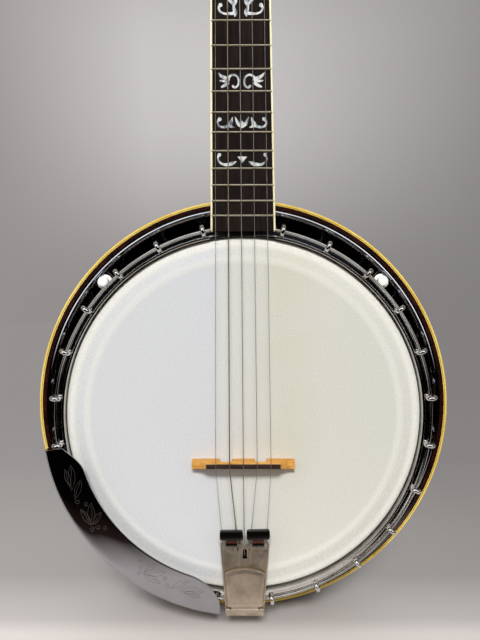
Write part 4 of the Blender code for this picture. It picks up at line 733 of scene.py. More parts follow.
# The resonator screws show as plain white discs: their heads are painted white, a painted
# highlight standing for the bright shine on their domed tops
WHITE_HEAD = celluloid("painted_highlight_white_head", "#fcfbf8", "#f6f4ef", 0.34)
# Purfling: a hairline of dark brown between the cream ones
DARK_LINE = celluloid("dark_purfling", "#2a1c14", "#1a100c")
# Nut and pip: bone, dry and slightly grey
BONE = celluloid("bleached_bone", "#e9e2cb", "#d9cfb2", 0.36)
# Inlays: silver-grey shell with dark figure; the buttons are its creamy celluloid copy
SHELL = pearl("mother_of_pearl", "#d2d3d0", "#939aa1", "#454c54", 5.0)
PEARLOID = pearl("pearl_celluloid", "#ece5d2", "#d8cfba", "#b0a68f", 3.2)
# Peghead front: deep black lacquer, faintly wavy
BLACK = lacquered("black_lacquer", "#0b0a0a", "#15110f", 0.16, 30.0)
# Damper: black rubber with a dull shine, on dark brown leather
RUBBER = soft_goods("moulded_rubber", "#050404", "#0c0908", 0.17, 1.6, 0.02)
LEATHER = soft_goods("brown_leather", "#3a180e", "#5e2b1a", 0.48, 0.9, 0.08)


# The pot
def make_head():
    """Film stretched over the arched tone ring, with its flesh hoop under the tension hoop."""
    top = [
        (0.0, 0.0), (60.0, 0.0), (112.0, 0.0), (119.2, 0.0), (120.6, -0.05), (122.2, -0.13),
        (123.8, -0.1), (125.3, 0.05), (127.5, 0.45), (131.0, 0.95), (134.5, 1.42),
        (136.2, 1.62), (137.6, 2.0), (138.7, 2.8), (139.4, 4.1), (HEAD_RADIUS, 5.6),
        (HEAD_RADIUS, 11.0),
    ]
    thick = 0.35
    under = [(max(radius - thick, 0.0), depth + thick) for radius, depth in reversed(top)]
    film = turn("head_film", top + under, 180)
    hand_over(set_down(film, POT), FILM, ["head"])
    outline = eased([(139.8, 9.3), (144.4, 9.3), (144.4, 13.9), (139.8, 13.9)], 1.2)
    hoop = turn("flesh_hoop", outline)
    hand_over(set_down(hoop, POT), NICKEL, ["head"])


def make_rings():
    """Tone ring and rim, seen from the side between the hoop and the flange."""
    outline = [
        (139.0, 5.2), (139.0, 26.0), (136.0, 26.0), (136.0, 9.6), (118.0, 9.6),
        (118.0, 2.8), (120.0, 0.7), (122.0, 0.7), (137.0, 2.9),
    ]
    ring = turn("tone_ring_body", eased(outline, 0.6))
    hand_over(set_down(ring, POT), BRONZE, ["tone_ring"])
    outline = [
        (120.0, 9.9), (135.7, 9.9), (135.7, 26.3), (139.0, 26.3), (139.0, 49.2),
        (136.6, 49.2), (136.6, 69.0), (120.0, 69.0),
    ]
    rim = turn("laminated_rim", eased(outline, 0.7))
    hand_over(set_down(rim, POT), RIM_WOOD, ["rim"])


def make_tension_hoop():
    """Grooved hoop: inner lip, groove for the hooks, round outer bead, notch for the board."""
    outline = [
        (140.0, HOOP_BACK), (140.0, -1.6), (140.4, HOOP_FRONT), (141.8, HOOP_FRONT),
        (142.2, -1.6), (142.4, 0.9), (145.5, 0.9), (145.6, -0.7), (145.9, -1.4),
        (146.35, -1.85), (146.85, HOOP_FRONT), (147.3, -1.8), (147.65, -1.3),
        (147.85, -0.6), (HOOP_OUTER, 0.3), (HOOP_OUTER, HOOP_BACK),
    ]
    hoop = turn("grooved_hoop", eased(outline, 0.22), 180)
    notch = block("notch", (-25.5, -8.0, 130.0), (25.5, -0.4, 154.0))
    soften(cut(hoop, notch), 0.3, 2, 55.0)
    hand_over(set_down(hoop, POT), NICKEL, ["tension_hoop"])


def hook_angles():
    side = [HOOK_FIRST + HOOK_PITCH * step for step in range(HOOKS_PER_SIDE)]
    return side + [-angle for angle in side]


def slot_angles():
    side = [HOOK_FIRST + HOOK_PITCH * (step + 0.5) for step in range(HOOKS_PER_SIDE - 1)]
    return side + [-angle for angle in side]


def arched_slot(steps=9):
    """A long slot that follows the pot's curve, with round ends, as (x, z) points."""
    half_height = SLOT_HALF_HEIGHT
    swing = math.degrees((SLOT_HALF_LENGTH - half_height) / SLOT_CENTRE)
    points = []
    for side in (1.0, -1.0):
        for step in range(steps + 1):
            angle = math.radians(side * swing * (1.0 - 2.0 * step / steps))
            radius = SLOT_CENTRE - side * half_height
            points.append((radius * math.sin(angle), radius * math.cos(angle)))
        end = math.radians(-side * swing)
        for step in range(1, 8):
            turned = math.pi * step / 8.0
            out = half_height * math.sin(turned)
            radius = SLOT_CENTRE - side * half_height * math.cos(turned)
            angle = end - side * out / SLOT_CENTRE
            points.append((radius * math.sin(angle), radius * math.cos(angle)))
    return points


def make_flange():
    """One-piece flange: hub, plate with long slots and hook holes, raised outer rim."""
    outline = [
        (136.9, FLANGE_FRONT), (165.9, FLANGE_FRONT), (166.3, 49.35), (166.6, 48.9),
        (166.7, 47.0), (166.75, 43.9), (166.85, 43.5), (167.1, 43.4), (168.5, 43.64),
        (168.8, 43.85), (168.95, 44.2), (FLANGE_RADIUS, 44.9), (FLANGE_RADIUS, FLANGE_BACK),
        (141.7, FLANGE_BACK), (141.7, 57.0), (136.9, 57.0),
    ]
    flange = turn("slotted_flange", outline, 180)
    slot = plate("slot", arched_slot(), 45.0, 54.5)
    cutters = [copied(slot, "slot_cut", round_pot(angle)) for angle in slot_angles()]
    discard(slot)
    hole = bar("hook_hole", 2.1, 45.0, 54.5, 12)
    for angle in hook_angles():
        cutters.append(copied(hole, "hole_cut", round_pot(angle) @ put(0.0, 0.0, HOOK_CIRCLE)))
    discard(hole)
    cut(flange, joined(cutters, "openings"))
    round_front_edges(flange, FLANGE_FRONT, 1.3, 4)
    hand_over(set_down(flange, POT), FLANGE_METAL, ["flange"])


def make_hook():
    """A round rod bent over the hoop's bead, with its hexagon nut behind the flange."""
    free_hands()
    bpy.ops.mesh.primitive_circle_add(
        vertices=14,
        radius=1.8 * MM,
        fill_type="NGON",
        location=(0.0, 53.0 * MM, HOOK_CIRCLE * MM),
        rotation=(math.radians(90.0), 0.0, 0.0),
        enter_editmode=True,
    )
    bpy.ops.mesh.extrude_region_move(TRANSFORM_OT_translate={"value": (0, -54.5 * MM, 0)})
    bend = (HOOK_CIRCLE + HOOK_TIP_CIRCLE) / 2.0
    middle = (0.0, -1.5 * MM, bend * MM)
    bpy.ops.mesh.spin(steps=9, angle=-math.pi, center=middle, axis=(1.0, 0.0, 0.0))
    bpy.ops.mesh.extrude_region_move(TRANSFORM_OT_translate={"value": (0, 1.9 * MM, 0)})
    bpy.ops.mesh.extrude_region_move(TRANSFORM_OT_translate={"value": (0, 0.5 * MM, 0)})
    bpy.ops.transform.resize(value=(0.7, 1.0, 0.7))
    face_outwards()
    rod = take("hook_rod")
    outline = [(1.6, 52.35), (3.2, 52.35), (3.6, 52.9), (3.6, 63.4), (3.1, 64.3), (1.6, 64.3)]
    nut = set_down(turn("hook_nut", outline, 6), put(0.0, 0.0, HOOK_CIRCLE))
    return joined([rod, nut], "hook")


def make_hooks():
    places = [POT @ round_pot(angle) for angle in hook_angles()]
    name = "bracket_hook_{:02d}"
    spread(make_hook(), name, places, NICKEL, "hook_{:02d}", angle=40.0)


def make_thumbscrews():
    """Domed, coin-edged screws with their washers."""
    outline = [
        (0.0, 40.4), (2.8, 40.45), (3.7, 40.65), (4.2, 41.1), (4.4, 41.8), (4.4, 45.6),
        (4.3, 46.3), (2.6, 46.5), (2.6, 48.2), (6.0, 48.2), (6.5, 48.45), (6.5, 49.2),
        (2.3, 49.2), (2.3, 62.6), (1.7, 63.3), (0.0, 63.3),
    ]
    screw = turn("screw", outline, 36)
    pick_faces(
        screw,
        lambda middle, normal: 42.0 < middle.y < 45.5 and math.hypot(middle.x, middle.z) > 4.25,
    )
    bpy.ops.mesh.inset(thickness=0.1 * MM, depth=-0.16 * MM, use_individual=True)
    end_edit()
    seat = put(0.0, 0.0, SLOT_CENTRE)
    places = [POT @ round_pot(angle) @ seat for angle in SCREW_ANGLES]
    name, node, body = "resonator_screw_{}", "thumbscrew_{}", "screw_{}"
    spread(screw, name, places, WHITE_HEAD, node, body, 30.0)


# Neck shapes, the same as the CAD's
def fret_place(number):
    return BOARD_LENGTH - SCALE_LENGTH * (1.0 - 2.0 ** (-number / 12.0))


def treble_edge(along):
    return BOARD_END_TREBLE + (NUT_HALF - BOARD_END_TREBLE) * along / BOARD_LENGTH


def bass_edge(along):
    past_fifth = along - fret_place(5)
    wide = BOARD_END_BASS + (FIFTH_EDGE - BOARD_END_BASS) * along / fret_place(5)
    if past_fifth <= STEP_START:
        return wide
    if past_fifth >= STEP_START + STEP_LENGTH:
        return -treble_edge(along)
    ease = (1.0 - math.cos(math.pi * (past_fifth - STEP_START) / STEP_LENGTH)) / 2.0
    return wide + (-treble_edge(along) - wide) * ease


def heel_share(along):
    return min(max((HEEL_START - along) / (HEEL_START - HEEL_FULL), 0.0), 1.0)


def neck_depth(along):
    share = (along - HEEL_START) / (BOARD_LENGTH - HEEL_START)
    shaft = 25.0 - 4.0 * max(share, 0.0)
    curve = 1.0 - math.sqrt(1.0 - heel_share(along) ** 2)
    return shaft + (HEEL_DEPTH - shaft) * curve


def neck_section(along, grow=0.0, count=26):
    """The neck's half-round section at one place, as (x, y, z) points."""
    treble = treble_edge(along) + grow
    bass = bass_edge(max(along, 0.0)) - grow
    middle = (treble + bass) / 2.0
    half = (treble - bass) / 2.0
    heel = heel_share(along)
    power = 2.0 / (2.3 + 0.7 * heel)
    points = []
    for step in range(count + 1):
        turned = math.pi * step / count
        across = math.copysign(abs(math.cos(turned)) ** power, math.cos(turned))
        down = abs(math.sin(turned)) ** power
        narrow = 1.0 - 0.36 * heel * down
        depth = NECK_TOP + (neck_depth(along) + grow - NECK_TOP) * down
        points.append((middle + half * narrow * across, depth, along))
    return points


def heel_pocket():
    """Cutter for the heel's way through the resonator's wall, in the pot's frame."""
    along = RESONATOR_INNER - HEEL_Z
    outline = []
    for x, y, z in neck_section(along, 0.8, 20):
        spot = HEEL_JOINT @ Vector((x * MM, y * MM, z * MM)) / MM
        outline.append((spot.x, spot.y, 160.0))
    return slab("heel_way", outline, (0.0, 0.0, 24.0))


def make_resonator():
    """Turned bowl with a cream line let into its back corner, and four inside lugs."""
    inside = RESONATOR_INSIDE
    back = RESONATOR_BACK
    outer = RESONATOR_RADIUS
    outline = [
        (0.0, inside), (125.0, inside), (145.0, inside - 0.5), (157.7, inside - 1.5),
        (163.5, inside - 3.4), (166.7, inside - 6.5), (168.8, inside - 10.5),
        (RESONATOR_INNER, inside - 15.0), (RESONATOR_INNER, RESONATOR_FRONT),
        (172.5, RESONATOR_FRONT), (172.5, 46.1), (outer, 46.1), (outer, 84.0),
        (173.6, 84.0), (173.6, 86.6), (outer, 86.6), (175.3, 90.6), (174.2, 93.4),
        (172.0, 95.6), (168.2, 97.6), (163.0, 98.7), (157.0, 99.2), (140.0, 99.65),
        (125.0, back), (0.0, back),
    ]
    bowl = turn("resonator_bowl", outline, 180)
    cut(bowl, heel_pocket())
    hand_over(set_down(bowl, POT), MAHOGANY, ["resonator"], angle=40.0)
    line = eased([(173.7, 84.0), (outer, 84.0), (outer, 86.6), (173.7, 86.6)], 0.15)
    line = turn("back_binding", line, 180)
    hand_over(set_down(line, POT), AMBER, ["resonator"])
    lug = block("lug", (-8.0, 52.3, 154.2), (8.0, 61.3, 170.6), 0.9)
    cut(lug, set_down(bar("bore", 2.6, 48.0, 66.0, 16), put(0.0, 0.0, SLOT_CENTRE)))
    places = [POT @ round_pot(angle) for angle in SCREW_ANGLES]
    spread(lug, "resonator_lug_{}", places, MAHOGANY, "resonator")


def make_front_binding():
    """Cream edge with two fine dark lines inside it, open where the heel passes."""
    parts = (
        ("front_binding", 174.1, RESONATOR_RADIUS, 0.5, AMBER),
        ("purfling_dark", 173.75, 174.1, 0.0, DARK_LINE),
        ("purfling_cream", 173.1, 173.75, 0.0, AMBER),
        ("purfling_inner", 172.6, 173.1, 0.0, DARK_LINE),
    )
    front = RESONATOR_FRONT
    for name, inner, outer, edge, finish in parts:
        outline = [(inner, front), (outer, front), (outer, 46.0), (inner, 46.0)]
        if edge:
            outline = [(inner, front), (outer - edge, front), (outer - 0.15, 43.05)]
            outline += [(outer, front + edge), (outer, 46.0), (inner, 46.0)]
        ring = turn(name, outline, 180)
        cut(ring, heel_pocket())
        hand_over(set_down(ring, POT), finish, ["resonator_binding"])


# The neck
def make_neck():
    """Shaft and heel drawn through their sections, then cut to sit on the pot."""
    places = [-6.0, 10.0, 24.0]
    steps = 22
    for step in range(steps + 1):
        share = (step / steps) ** 1.6
        places.append(HEEL_FULL + (HEEL_START - HEEL_FULL) * share)
    start = fret_place(5) + STEP_START
    places += [130.0, 180.0, 230.0, 270.0]
    places += [start + STEP_LENGTH * step / 8.0 for step in range(9)]
    places += [400.0, 440.0, 470.0, NECK_END]
    neck = draw_through("neck_shaft", [neck_section(along) for along in sorted(places)])
    set_down(neck, NECK)
    outline = [
        (118.0, -14.0), (148.2, -14.0), (148.2, 17.9), (139.3, 17.9), (139.3, 49.2),
        (169.3, 49.2), (169.3, 52.3), (142.1, 52.3), (142.1, 100.5), (118.0, 100.5),
    ]
    seat = set_down(turn("pot_seat", outline, 120), POT)
    cut(neck, seat)
    hand_over(neck, NECK_WOOD, ["neck"], angle=28.0)


def peghead_outline():
    half = NUT_HALF
    top = PEGHEAD_LENGTH
    right = flowing(
        [
            (half, 0.0), (half + 1.0, 5.0), (half + 9.0, top * 0.10),
            (half + 19.5, top * 0.20), (half + 21.5, top * 0.38), (half + 18.0, top * 0.60),
            (half + 21.0, top * 0.80), (half + 14.0, top * 0.95), (5.0, top),
        ],
        7,
    )
    return mirrored([(point.x, point.y) for point in right])


def make_peghead():
    """Waisted paddle with a black front veneer, and the truss rod's cover on three screws."""
    wood = plate("peghead_wood", peghead_outline(), 1.6, PEGHEAD_THICKNESS)
    soften(wood, 1.1, 3, 50.0)
    hand_over(set_down(wood, PEGHEAD), NECK_WOOD, ["neck"])
    veneer = plate("peghead_veneer", peghead_outline(), 0.0, 1.6)
    soften(veneer, 0.35, 2, 50.0)
    hand_over(set_down(veneer, PEGHEAD), BLACK, ["neck"])
    outline = flowing([(12.0, 3.0), (11.0, 9.0), (6.5, 21.0), (4.5, 33.0), (1.0, 39.0)], 6)
    outline = mirrored([(point.x, point.y) for point in outline])
    cover = plate("bell_cover", outline, -2.3, -0.3)
    soften(cover, 0.45, 2, 50.0)
    hand_over(set_down(cover, PEGHEAD), BLACK, ["truss_rod_cover"])
    screw = [(0.0, -2.9), (0.9, -2.8), (1.7, -2.3), (1.7, -1.9), (0.0, -1.9)]
    screw = turn("cover_screw", screw, 20)
    cut(screw, block("slot", (-2.2, -3.2, -0.2), (2.2, -2.55, 0.2)))
    spots = ((-8.0, 6.5, 25.0), (8.0, 6.5, 50.0), (0.0, 35.0, 75.0))
    places = [PEGHEAD @ put(x, 0.0, z) @ lean(angle, "Y") for x, z, angle in spots]
    spread(screw, "cover_screw_{}", places, NICKEL, "truss_rod_cover")


def make_tuners():
    """Planetary tuners: hexagon collar and post in front, geared housing and button behind."""
    back = PEGHEAD_THICKNESS
    hexagon = [(3.4, -2.2), (5.0, -2.2), (5.5, -1.8), (5.5, 0.05), (3.4, 0.05)]
    collar = turn("collar", hexagon, 6)
    rounded = [(3.4, -0.5), (6.6, -0.5), (7.0, -0.2), (7.0, 0.05), (3.4, 0.05)]
    washer = turn("washer", rounded, 40)
    front = joined([collar, washer], "front_collar")
    shell = [
        (0.0, back - 0.5), (7.75, back - 0.5), (7.75, back + 2.6), (7.2, back + 3.0),
        (7.2, back + 3.8), (7.75, back + 4.2), (7.75, back + 9.0), (6.6, back + 11.0),
        (4.75, back + 12.5), (0.0, back + 12.5),
    ]
    housing = turn("housing", eased(shell, 0.4, False), 44)
    pick_faces(
        housing,
        lambda middle, normal: back + 5.0 < middle.y < back + 8.5
        and math.hypot(middle.x, middle.z) > 7.5,
    )
    bpy.ops.mesh.inset(thickness=0.12 * MM, depth=-0.18 * MM, use_individual=True)
    end_edit()
    post = [
        (0.0, -17.0), (1.9, -17.0), (2.7, -16.6), (3.1, -15.8), (3.1, -12.6), (2.6, -11.4),
        (2.3, -10.4), (2.3, -7.6), (2.6, -6.6), (3.1, -5.5), (3.1, 9.0), (0.0, 9.0),
    ]
    post = turn("post", post, 28)
    hole = bar("string_hole", 0.55, -4.0, 4.0, 12)
    cut(post, set_down(hole, put(0.0, STRING_ON_POST, 0.0) @ lean(90.0, "X")))
    stem = bar("stem", 2.8, 9.3, 36.2, 24)
    knob = make_knob(36.0)
    places = [PEGHEAD @ put(x, 0.0, z) for x, z in PEG_PLACES]
    spread(front, "tuner_collar_{}", places, NICKEL, "neck")
    spread(housing, "tuner_housing_{}", places, NICKEL, "neck")
    turned = [place @ lean(30.0 * number, "Y") for number, place in enumerate(places, start=1)]
    spread(post, "string_post_{}", turned, NICKEL, "tuner_post_{}", "post_{}")
    node, body = "tuner_button_{}", "button_{}"
    spread(stem, "button_stem_{}", places, NICKEL, node, body)
    spread(knob, "pearl_button_{}", places, PEARLOID, node, body)


def make_knob(start):
    """A tuner button: turned, then pressed flat for the fingers."""
    wide = 10.5
    outline = [
        (0.0, start), (wide * 0.45, start), (wide * 0.82, start + 2.4), (wide, start + 7.2),
        (wide * 0.85, start + 12.8), (wide * 0.5, start + 16.0), (0.0, start + 16.0),
    ]
    knob = turn("knob", eased(outline, 2.2, False, 4), 36)
    hold(knob)
    bpy.ops.object.mode_set(mode="EDIT")
    bpy.ops.mesh.select_all(action="SELECT")
    middle = (0.0, (start + 8.0) * MM, 0.0)
    bpy.ops.transform.resize(value=(0.5, 1.0, 1.0), center_override=middle)
    end_edit()
    return knob


def make_fifth_peg():
    """Friction peg in the neck's bass side: ferrule, spool and button."""
    along = fret_place(5) + PEG_PAST_FRET
    place = NECK @ put(bass_edge(along), PEG_DEPTH, along) @ lean(90.0, "Z")
    outline = [
        (0.0, -11.5), (2.0, -11.5), (2.0, 0.4), (4.3, 0.4), (4.3, 2.0), (3.1, 3.0),
        (2.7, 4.2), (2.7, 6.4), (3.1, 8.0), (5.1, 8.8), (5.1, 10.6), (2.8, 11.0),
        (2.8, 13.2), (0.0, 13.2),
    ]
    peg = turn("fifth_peg_spool", eased(outline, 0.35, False), 32)
    body = "fifth_string_peg"
    hand_over(set_down(peg, place), NICKEL, ["fifth_peg"], body)
    knob = make_knob(13.0)
    knob.name = knob.data.name = "fifth_peg_button"
    hand_over(set_down(knob, place), PEARLOID, ["fifth_peg"], body)


def edge_places():
    start = fret_place(5) + STEP_START
    places = [0.0, 60.0, 130.0, 200.0, 260.0]
    places += [start + STEP_LENGTH * step / 12.0 for step in range(13)]
    return places + [400.0, 450.0, BOARD_LENGTH]


def make_fingerboard():
    """Rosewood between two cream bindings, crowned frets with eased ends, fifth-string pip."""
    places = edge_places()
    inner = [(treble_edge(0.0) - EDGE_BINDING, 0.0)]
    inner.append((treble_edge(BOARD_LENGTH) - EDGE_BINDING, BOARD_LENGTH))
    inner += [(bass_edge(along) + EDGE_BINDING, along) for along in reversed(places)]
    board = plate("rosewood_board", inner, 0.0, BOARD_THICKNESS)
    hand_over(set_down(board, NECK), ROSEWOOD, ["fingerboard"])
    outline = [(treble_edge(0.0) - EDGE_BINDING, 0.0), (treble_edge(0.0), 0.0)]
    outline += [(treble_edge(BOARD_LENGTH), BOARD_LENGTH)]
    outline += [(treble_edge(BOARD_LENGTH) - EDGE_BINDING, BOARD_LENGTH)]
    treble = plate("treble_binding", outline, -0.02, BOARD_THICKNESS)
    outline = [(bass_edge(along), along) for along in places]
    outline += [(bass_edge(along) + EDGE_BINDING, along) for along in reversed(places)]
    bass = plate("bass_binding", outline, -0.02, BOARD_THICKNESS)
    for strip in (treble, bass):
        soften(strip, 0.3, 2, 60.0)
        hand_over(set_down(strip, NECK), CREAM, ["fingerboard"])
    frets = []
    for number in range(1, FRET_COUNT + 1):
        along = fret_place(number)
        section = [(-0.66, 0.3), (-0.66, -0.3), (-0.56, -0.66), (-0.32, -0.92), (0.0, -1.0)]
        section += [(-across, depth) for across, depth in reversed(section[:-1])]
        low = bass_edge(along) + EDGE_BINDING - 0.5
        high = treble_edge(along) - EDGE_BINDING + 0.5
        points = [(low, depth, along + across) for across, depth in section]
        frets.append(slab("fret", points, (high - low, 0.0, 0.0)))
    frets = joined(frets, "frets")
    pick_faces(frets, lambda middle, normal: abs(normal.x) > 0.9)
    bpy.ops.mesh.inset(thickness=0.3 * MM, depth=0.28 * MM)
    end_edit()
    hand_over(set_down(frets, NECK), FRET_METAL, ["fingerboard"], angle=45.0)
    pip = bar("fifth_string_pip", 1.2, -2.0, 0.3, 18, 0.5)
    place = NECK @ put(PIP_X, 0.0, fret_place(5) + PIP_PAST_FRET)
    hand_over(set_down(pip, place), BONE, ["fingerboard"])


def make_nut():
    """Bone nut, rounded on top, with a slot for each long string."""
    section = [(0.3, 5.5), (0.3, -1.5), (0.9, -2.0), (3.4, -2.0)]
    section += [(NUT_THICKNESS, -0.6), (NUT_THICKNESS, 5.5)]
    points = [(-NUT_HALF, depth, BOARD_LENGTH + along) for along, depth in section]
    nut = slab("bone_nut", points, (2 * NUT_HALF, 0.0, 0.0))
    for string in range(1, 5):
        x = nut_x(string)
        half = STRING_GAUGES[string - 1] / 2.0 + 0.3
        floor = half - STRING_OVER_NUT
        cut(nut, block("slot", (x - half, -4.0, 490.0), (x + half, floor, 506.0)))
    soften(nut, 0.25, 2, 50.0)
    hand_over(set_down(nut, NECK), BONE, ["nut"])


# Pearl scrolls, in our own drawing of the traditional kind. Each stroke is a list of
# (x, z, width) points from the middle of its fret space; strokes are mirrored.
WING = (
    ((-9.6, 0.4, 2.4), (-12.4, 1.7, 2.7), (-15.4, 3.2, 2.1), (-17.4, 5.6, 0.5)),
    ((-10.2, -0.9, 1.7), (-13.2, -0.7, 1.9), (-16.4, -0.3, 1.1)),
    ((-9.8, -2.2, 1.9), (-12.2, -3.7, 2.4), (-15.2, -5.1, 1.4)),
    (
        (-10.6, -0.9, 2.2), (-9.4, 2.4, 1.9), (-6.4, 4.1, 1.6), (-3.3, 2.7, 1.4),
        (-2.1, -0.7, 1.3), (-2.9, -4.2, 1.4), (-5.2, -5.6, 1.6), (-6.6, -4.3, 1.9),
    ),
)
TRUMPET = (
    (
        (-16.6, 2.4, 3.2), (-18.4, 0.2, 1.5), (-17.8, -2.6, 1.5), (-14.8, -4.0, 1.7),
        (-11.2, -3.2, 2.2), (-8.6, -1.4, 3.6),
    ),
    ((-9.4, -1.6, 3.2), (-7.9, 0.8, 2.0), (-7.2, 3.6, 0.4)),
    ((-9.6, -2.8, 2.4), (-7.4, -3.7, 1.5), (-5.6, -4.1, 0.4)),
)
TULIP = (
    ((0.0, -4.4, 0.8), (-2.2, -2.0, 2.6), (-3.9, 0.8, 1.9), (-5.2, 3.8, 0.4)),
    ((0.0, -3.6, 1.6), (0.0, -1.4, 3.8), (0.0, 0.5, 1.2)),
)
LEAF = (
    (
        (-17.2, 3.8, 2.9), (-18.6, 1.4, 1.4), (-17.8, -1.6, 1.4), (-14.2, -3.9, 1.9),
        (-10.0, -3.8, 2.7), (-6.8, -2.7, 2.2), (-4.6, -1.6, 0.5),
    ),
)
WEDGE = (((-3.7, 2.0), (0.0, 2.3), (3.7, 2.0), (1.7, -0.4), (0.0, -2.9), (-1.7, -0.4)),)
FLAME = (
    (
        (-15.0, 0.8, 3.2), (-16.7, -1.6, 1.6), (-15.4, -4.6, 1.5), (-11.8, -6.1, 1.6),
        (-8.0, -6.0, 2.2), (-4.9, -5.8, 2.4),
    ),
    ((-4.4, -8.2, 0.6), (-4.2, -4.8, 3.2), (-5.4, -0.8, 1.9), (-4.2, 3.0, 3.0), (-2.8, 6.6, 0.6)),
    ((-5.2, 0.8, 2.0), (-8.0, 3.8, 2.4), (-11.0, 6.6, 0.8)),
)
INLAYS = {
    1: (TRUMPET + TULIP, 0.82, 0.0),
    3: (WING, 0.84, 0.0),
    5: (LEAF + WEDGE, 0.9, 0.6),
    7: (WING, 0.95, 0.0),
    10: (TRUMPET + TULIP, 0.95, 0.4),
    12: (FLAME, 1.0, 1.2),
    15: (WING, 1.0, 0.0),
    17: (TRUMPET + TULIP, 1.0, 0.2),
    19: (LEAF + WEDGE, 1.0, 0.2),
}


def make_inlays():
    """Pearl let into the board, a hair proud of it."""
    for number, (strokes, size, lift) in INLAYS.items():
        middle = (fret_place(number) + fret_place(number - 1)) / 2.0
        centre = (treble_edge(middle) + bass_edge(middle)) / 2.0 if number > 5 else 0.0
        pieces = []
        for order, stroke in enumerate(strokes):
            outline = list(stroke)
            if len(stroke[0]) == 3:
                outline = ribbon([Vector(point) for point in stroke])
            on_middle = stroke[-1][0] == 0.0 or len(stroke[0]) == 2
            sides = (1.0,) if on_middle else (1.0, -1.0)
            for side in sides:
                front = -0.05 - 0.012 * order - (0.004 if side < 0 else 0.0)
                drawn = [(centre + side * x * size, middle + lift + z * size) for x, z in outline]
                pieces.append(plate("stroke", drawn, front, 0.4))
        piece = joined(pieces, f"pearl_inlay_{number:02d}")
        hand_over(set_down(piece, NECK), SHELL, ["fingerboard"])


# Strings, bridge, tailpiece
def nut_x(string):
    return (2.5 - string) * NUT_SPACING


def bridge_x(string):
    return (3 - string) * BRIDGE_SPACING


def in_pot(place, x, y, z):
    """A point of another frame as millimetres in the pot's frame."""
    return tuple((POT.inverted() @ place @ Vector((x * MM, y * MM, z * MM))) / MM)


def make_strings():
    """Each string from its post over nut and bridge into its notch, with turns on the post."""
    for string in range(1, 6):
        gauge = STRING_GAUGES[string - 1]
        radius = gauge / 2.0
        if string < 5:
            x, z = PEG_PLACES[string - 1]
            side = -math.copysign(1.0, x)
            coil = 2.3 + radius
            beside = 2.35 + STRING_DRAWN * radius
            start = [in_pot(PEGHEAD, x + side * beside, STRING_ON_POST, z)]
            for along in (NECK_END, BOARD_LENGTH):
                start.append(in_pot(NECK, nut_x(string), -STRING_OVER_NUT, along))
            turns = []
            for step in range(43):
                swing = math.radians(20.0 * step)
                depth = STRING_ON_POST + (step - 21) / 42.0 * 1.9
                turns.append((side * coil * math.cos(swing), depth, coil * math.sin(swing)))
            winding = wire(f"string_turns_{string}", turns, gauge, 1)
            set_down(winding, PEGHEAD @ put(x, 0.0, z))
            node = [f"tuner_post_{string}"]
            hand_over(winding, STEEL, node, f"post_{string}")
        else:
            along = fret_place(5) + PEG_PAST_FRET
            pip = fret_place(5) + PIP_PAST_FRET
            over = -2.0 - radius - 0.05
            start = [in_pot(NECK, bass_edge(along) - 5.0, PEG_DEPTH - 2.85 - radius, along)]
            start += [in_pot(NECK, PIP_X, over, pip + side) for side in (1.2, -1.2)]
        top = -BRIDGE_HEIGHT - radius
        notch = TAIL_X + TAIL_NOTCHES[string - 1]
        across = bridge_x(string)
        points = start + [(across, top, BRIDGE_Z + 0.4), (across, top, BRIDGE_Z - 1.8)]
        points.append((notch, TAIL_FRONT - 0.9, TAIL_TOP + 0.4))
        under = TAIL_BACK + radius + 0.3
        points.append((notch, under, TAIL_TOP - 4.4))
        points.append((notch - TAIL_NOTCHES[string - 1] * 0.04, under, -107.4))
        piece = wire(f"steel_string_{string}", points, STRING_DRAWN * gauge, 2)
        finish = WOUND if string == 4 else STEEL
        hand_over(set_down(piece, POT), finish, [f"string_{string}"], angle=60.0)


def bridge_faces(outline, front):
    """A bridge outline on its upright face and on its sloping one, which spreads to the feet."""
    feet = [(3.2 + 5.0 * (y + BRIDGE_HEIGHT) / BRIDGE_HEIGHT) for x, y in outline]
    upright = [(x, y, front) for x, y in outline]
    return upright, [(x, y, front - deep) for (x, y), deep in zip(outline, feet)]


def make_bridge():
    """Three-footed maple bridge, thin along the top, with an ebony strip under the strings."""
    top = -BRIDGE_HEIGHT
    outline = [(BRIDGE_HALF, -0.05), (BRIDGE_HALF, -6.6), (BRIDGE_HALF - 0.3, -7.0)]
    for step in range(1, 11):
        turned = math.radians(9.0 * step)
        across = BRIDGE_HALF - 0.3 - 11.6 * math.sin(turned)
        outline.append((across, -7.0 - 9.2 * (1.0 - math.cos(turned))))
    outline = mirrored(outline)
    middle, reach = 13.55, 4.75
    gap = [(-middle - reach, -0.05)]
    for step in range(13):
        turned = math.pi * step / 12.0
        gap.append((-middle - reach * math.cos(turned), -4.3 - reach * math.sin(turned)))
    gap.append((-middle + reach, -0.05))
    front = BRIDGE_Z + 1.6
    bridge = draw_through("maple_bridge", bridge_faces(outline + mirrored(gap), front))
    end = 28.2
    low = (-end, top - 1.0, front - 6.0)
    cut(bridge, block("strip_seat", low, (end, top + 1.5, front + 1.0)))
    soften(bridge, 0.3, 2, 50.0)
    hand_over(set_down(bridge, POT), MAPLE, ["bridge"])
    strip = bridge_faces(mirrored([(end, top + 1.5), (end, top + 0.2)]), front)
    strip = draw_through("ebony_top", strip)
    for string in range(1, 6):
        x = bridge_x(string)
        half = STRING_GAUGES[string - 1] / 2.0 + 0.1
        low = (x - half, top - 1.0, front - 6.0)
        cut(strip, block("slot", low, (x + half, top + 0.32, front + 1.0)))
    soften(strip, 0.2, 2, 50.0)
    hand_over(set_down(strip, POT), EBONY, ["bridge"])


def tail_half(z):
    return 19.0 - 4.2 * (z - TAIL_TOP) / (TAIL_END - TAIL_TOP)


def tail_outline(inset, top, bottom):
    return [
        (tail_half(top) - inset, top), (-tail_half(top) + inset, top),
        (-tail_half(bottom) + inset, bottom), (tail_half(bottom) - inset, bottom),
    ]


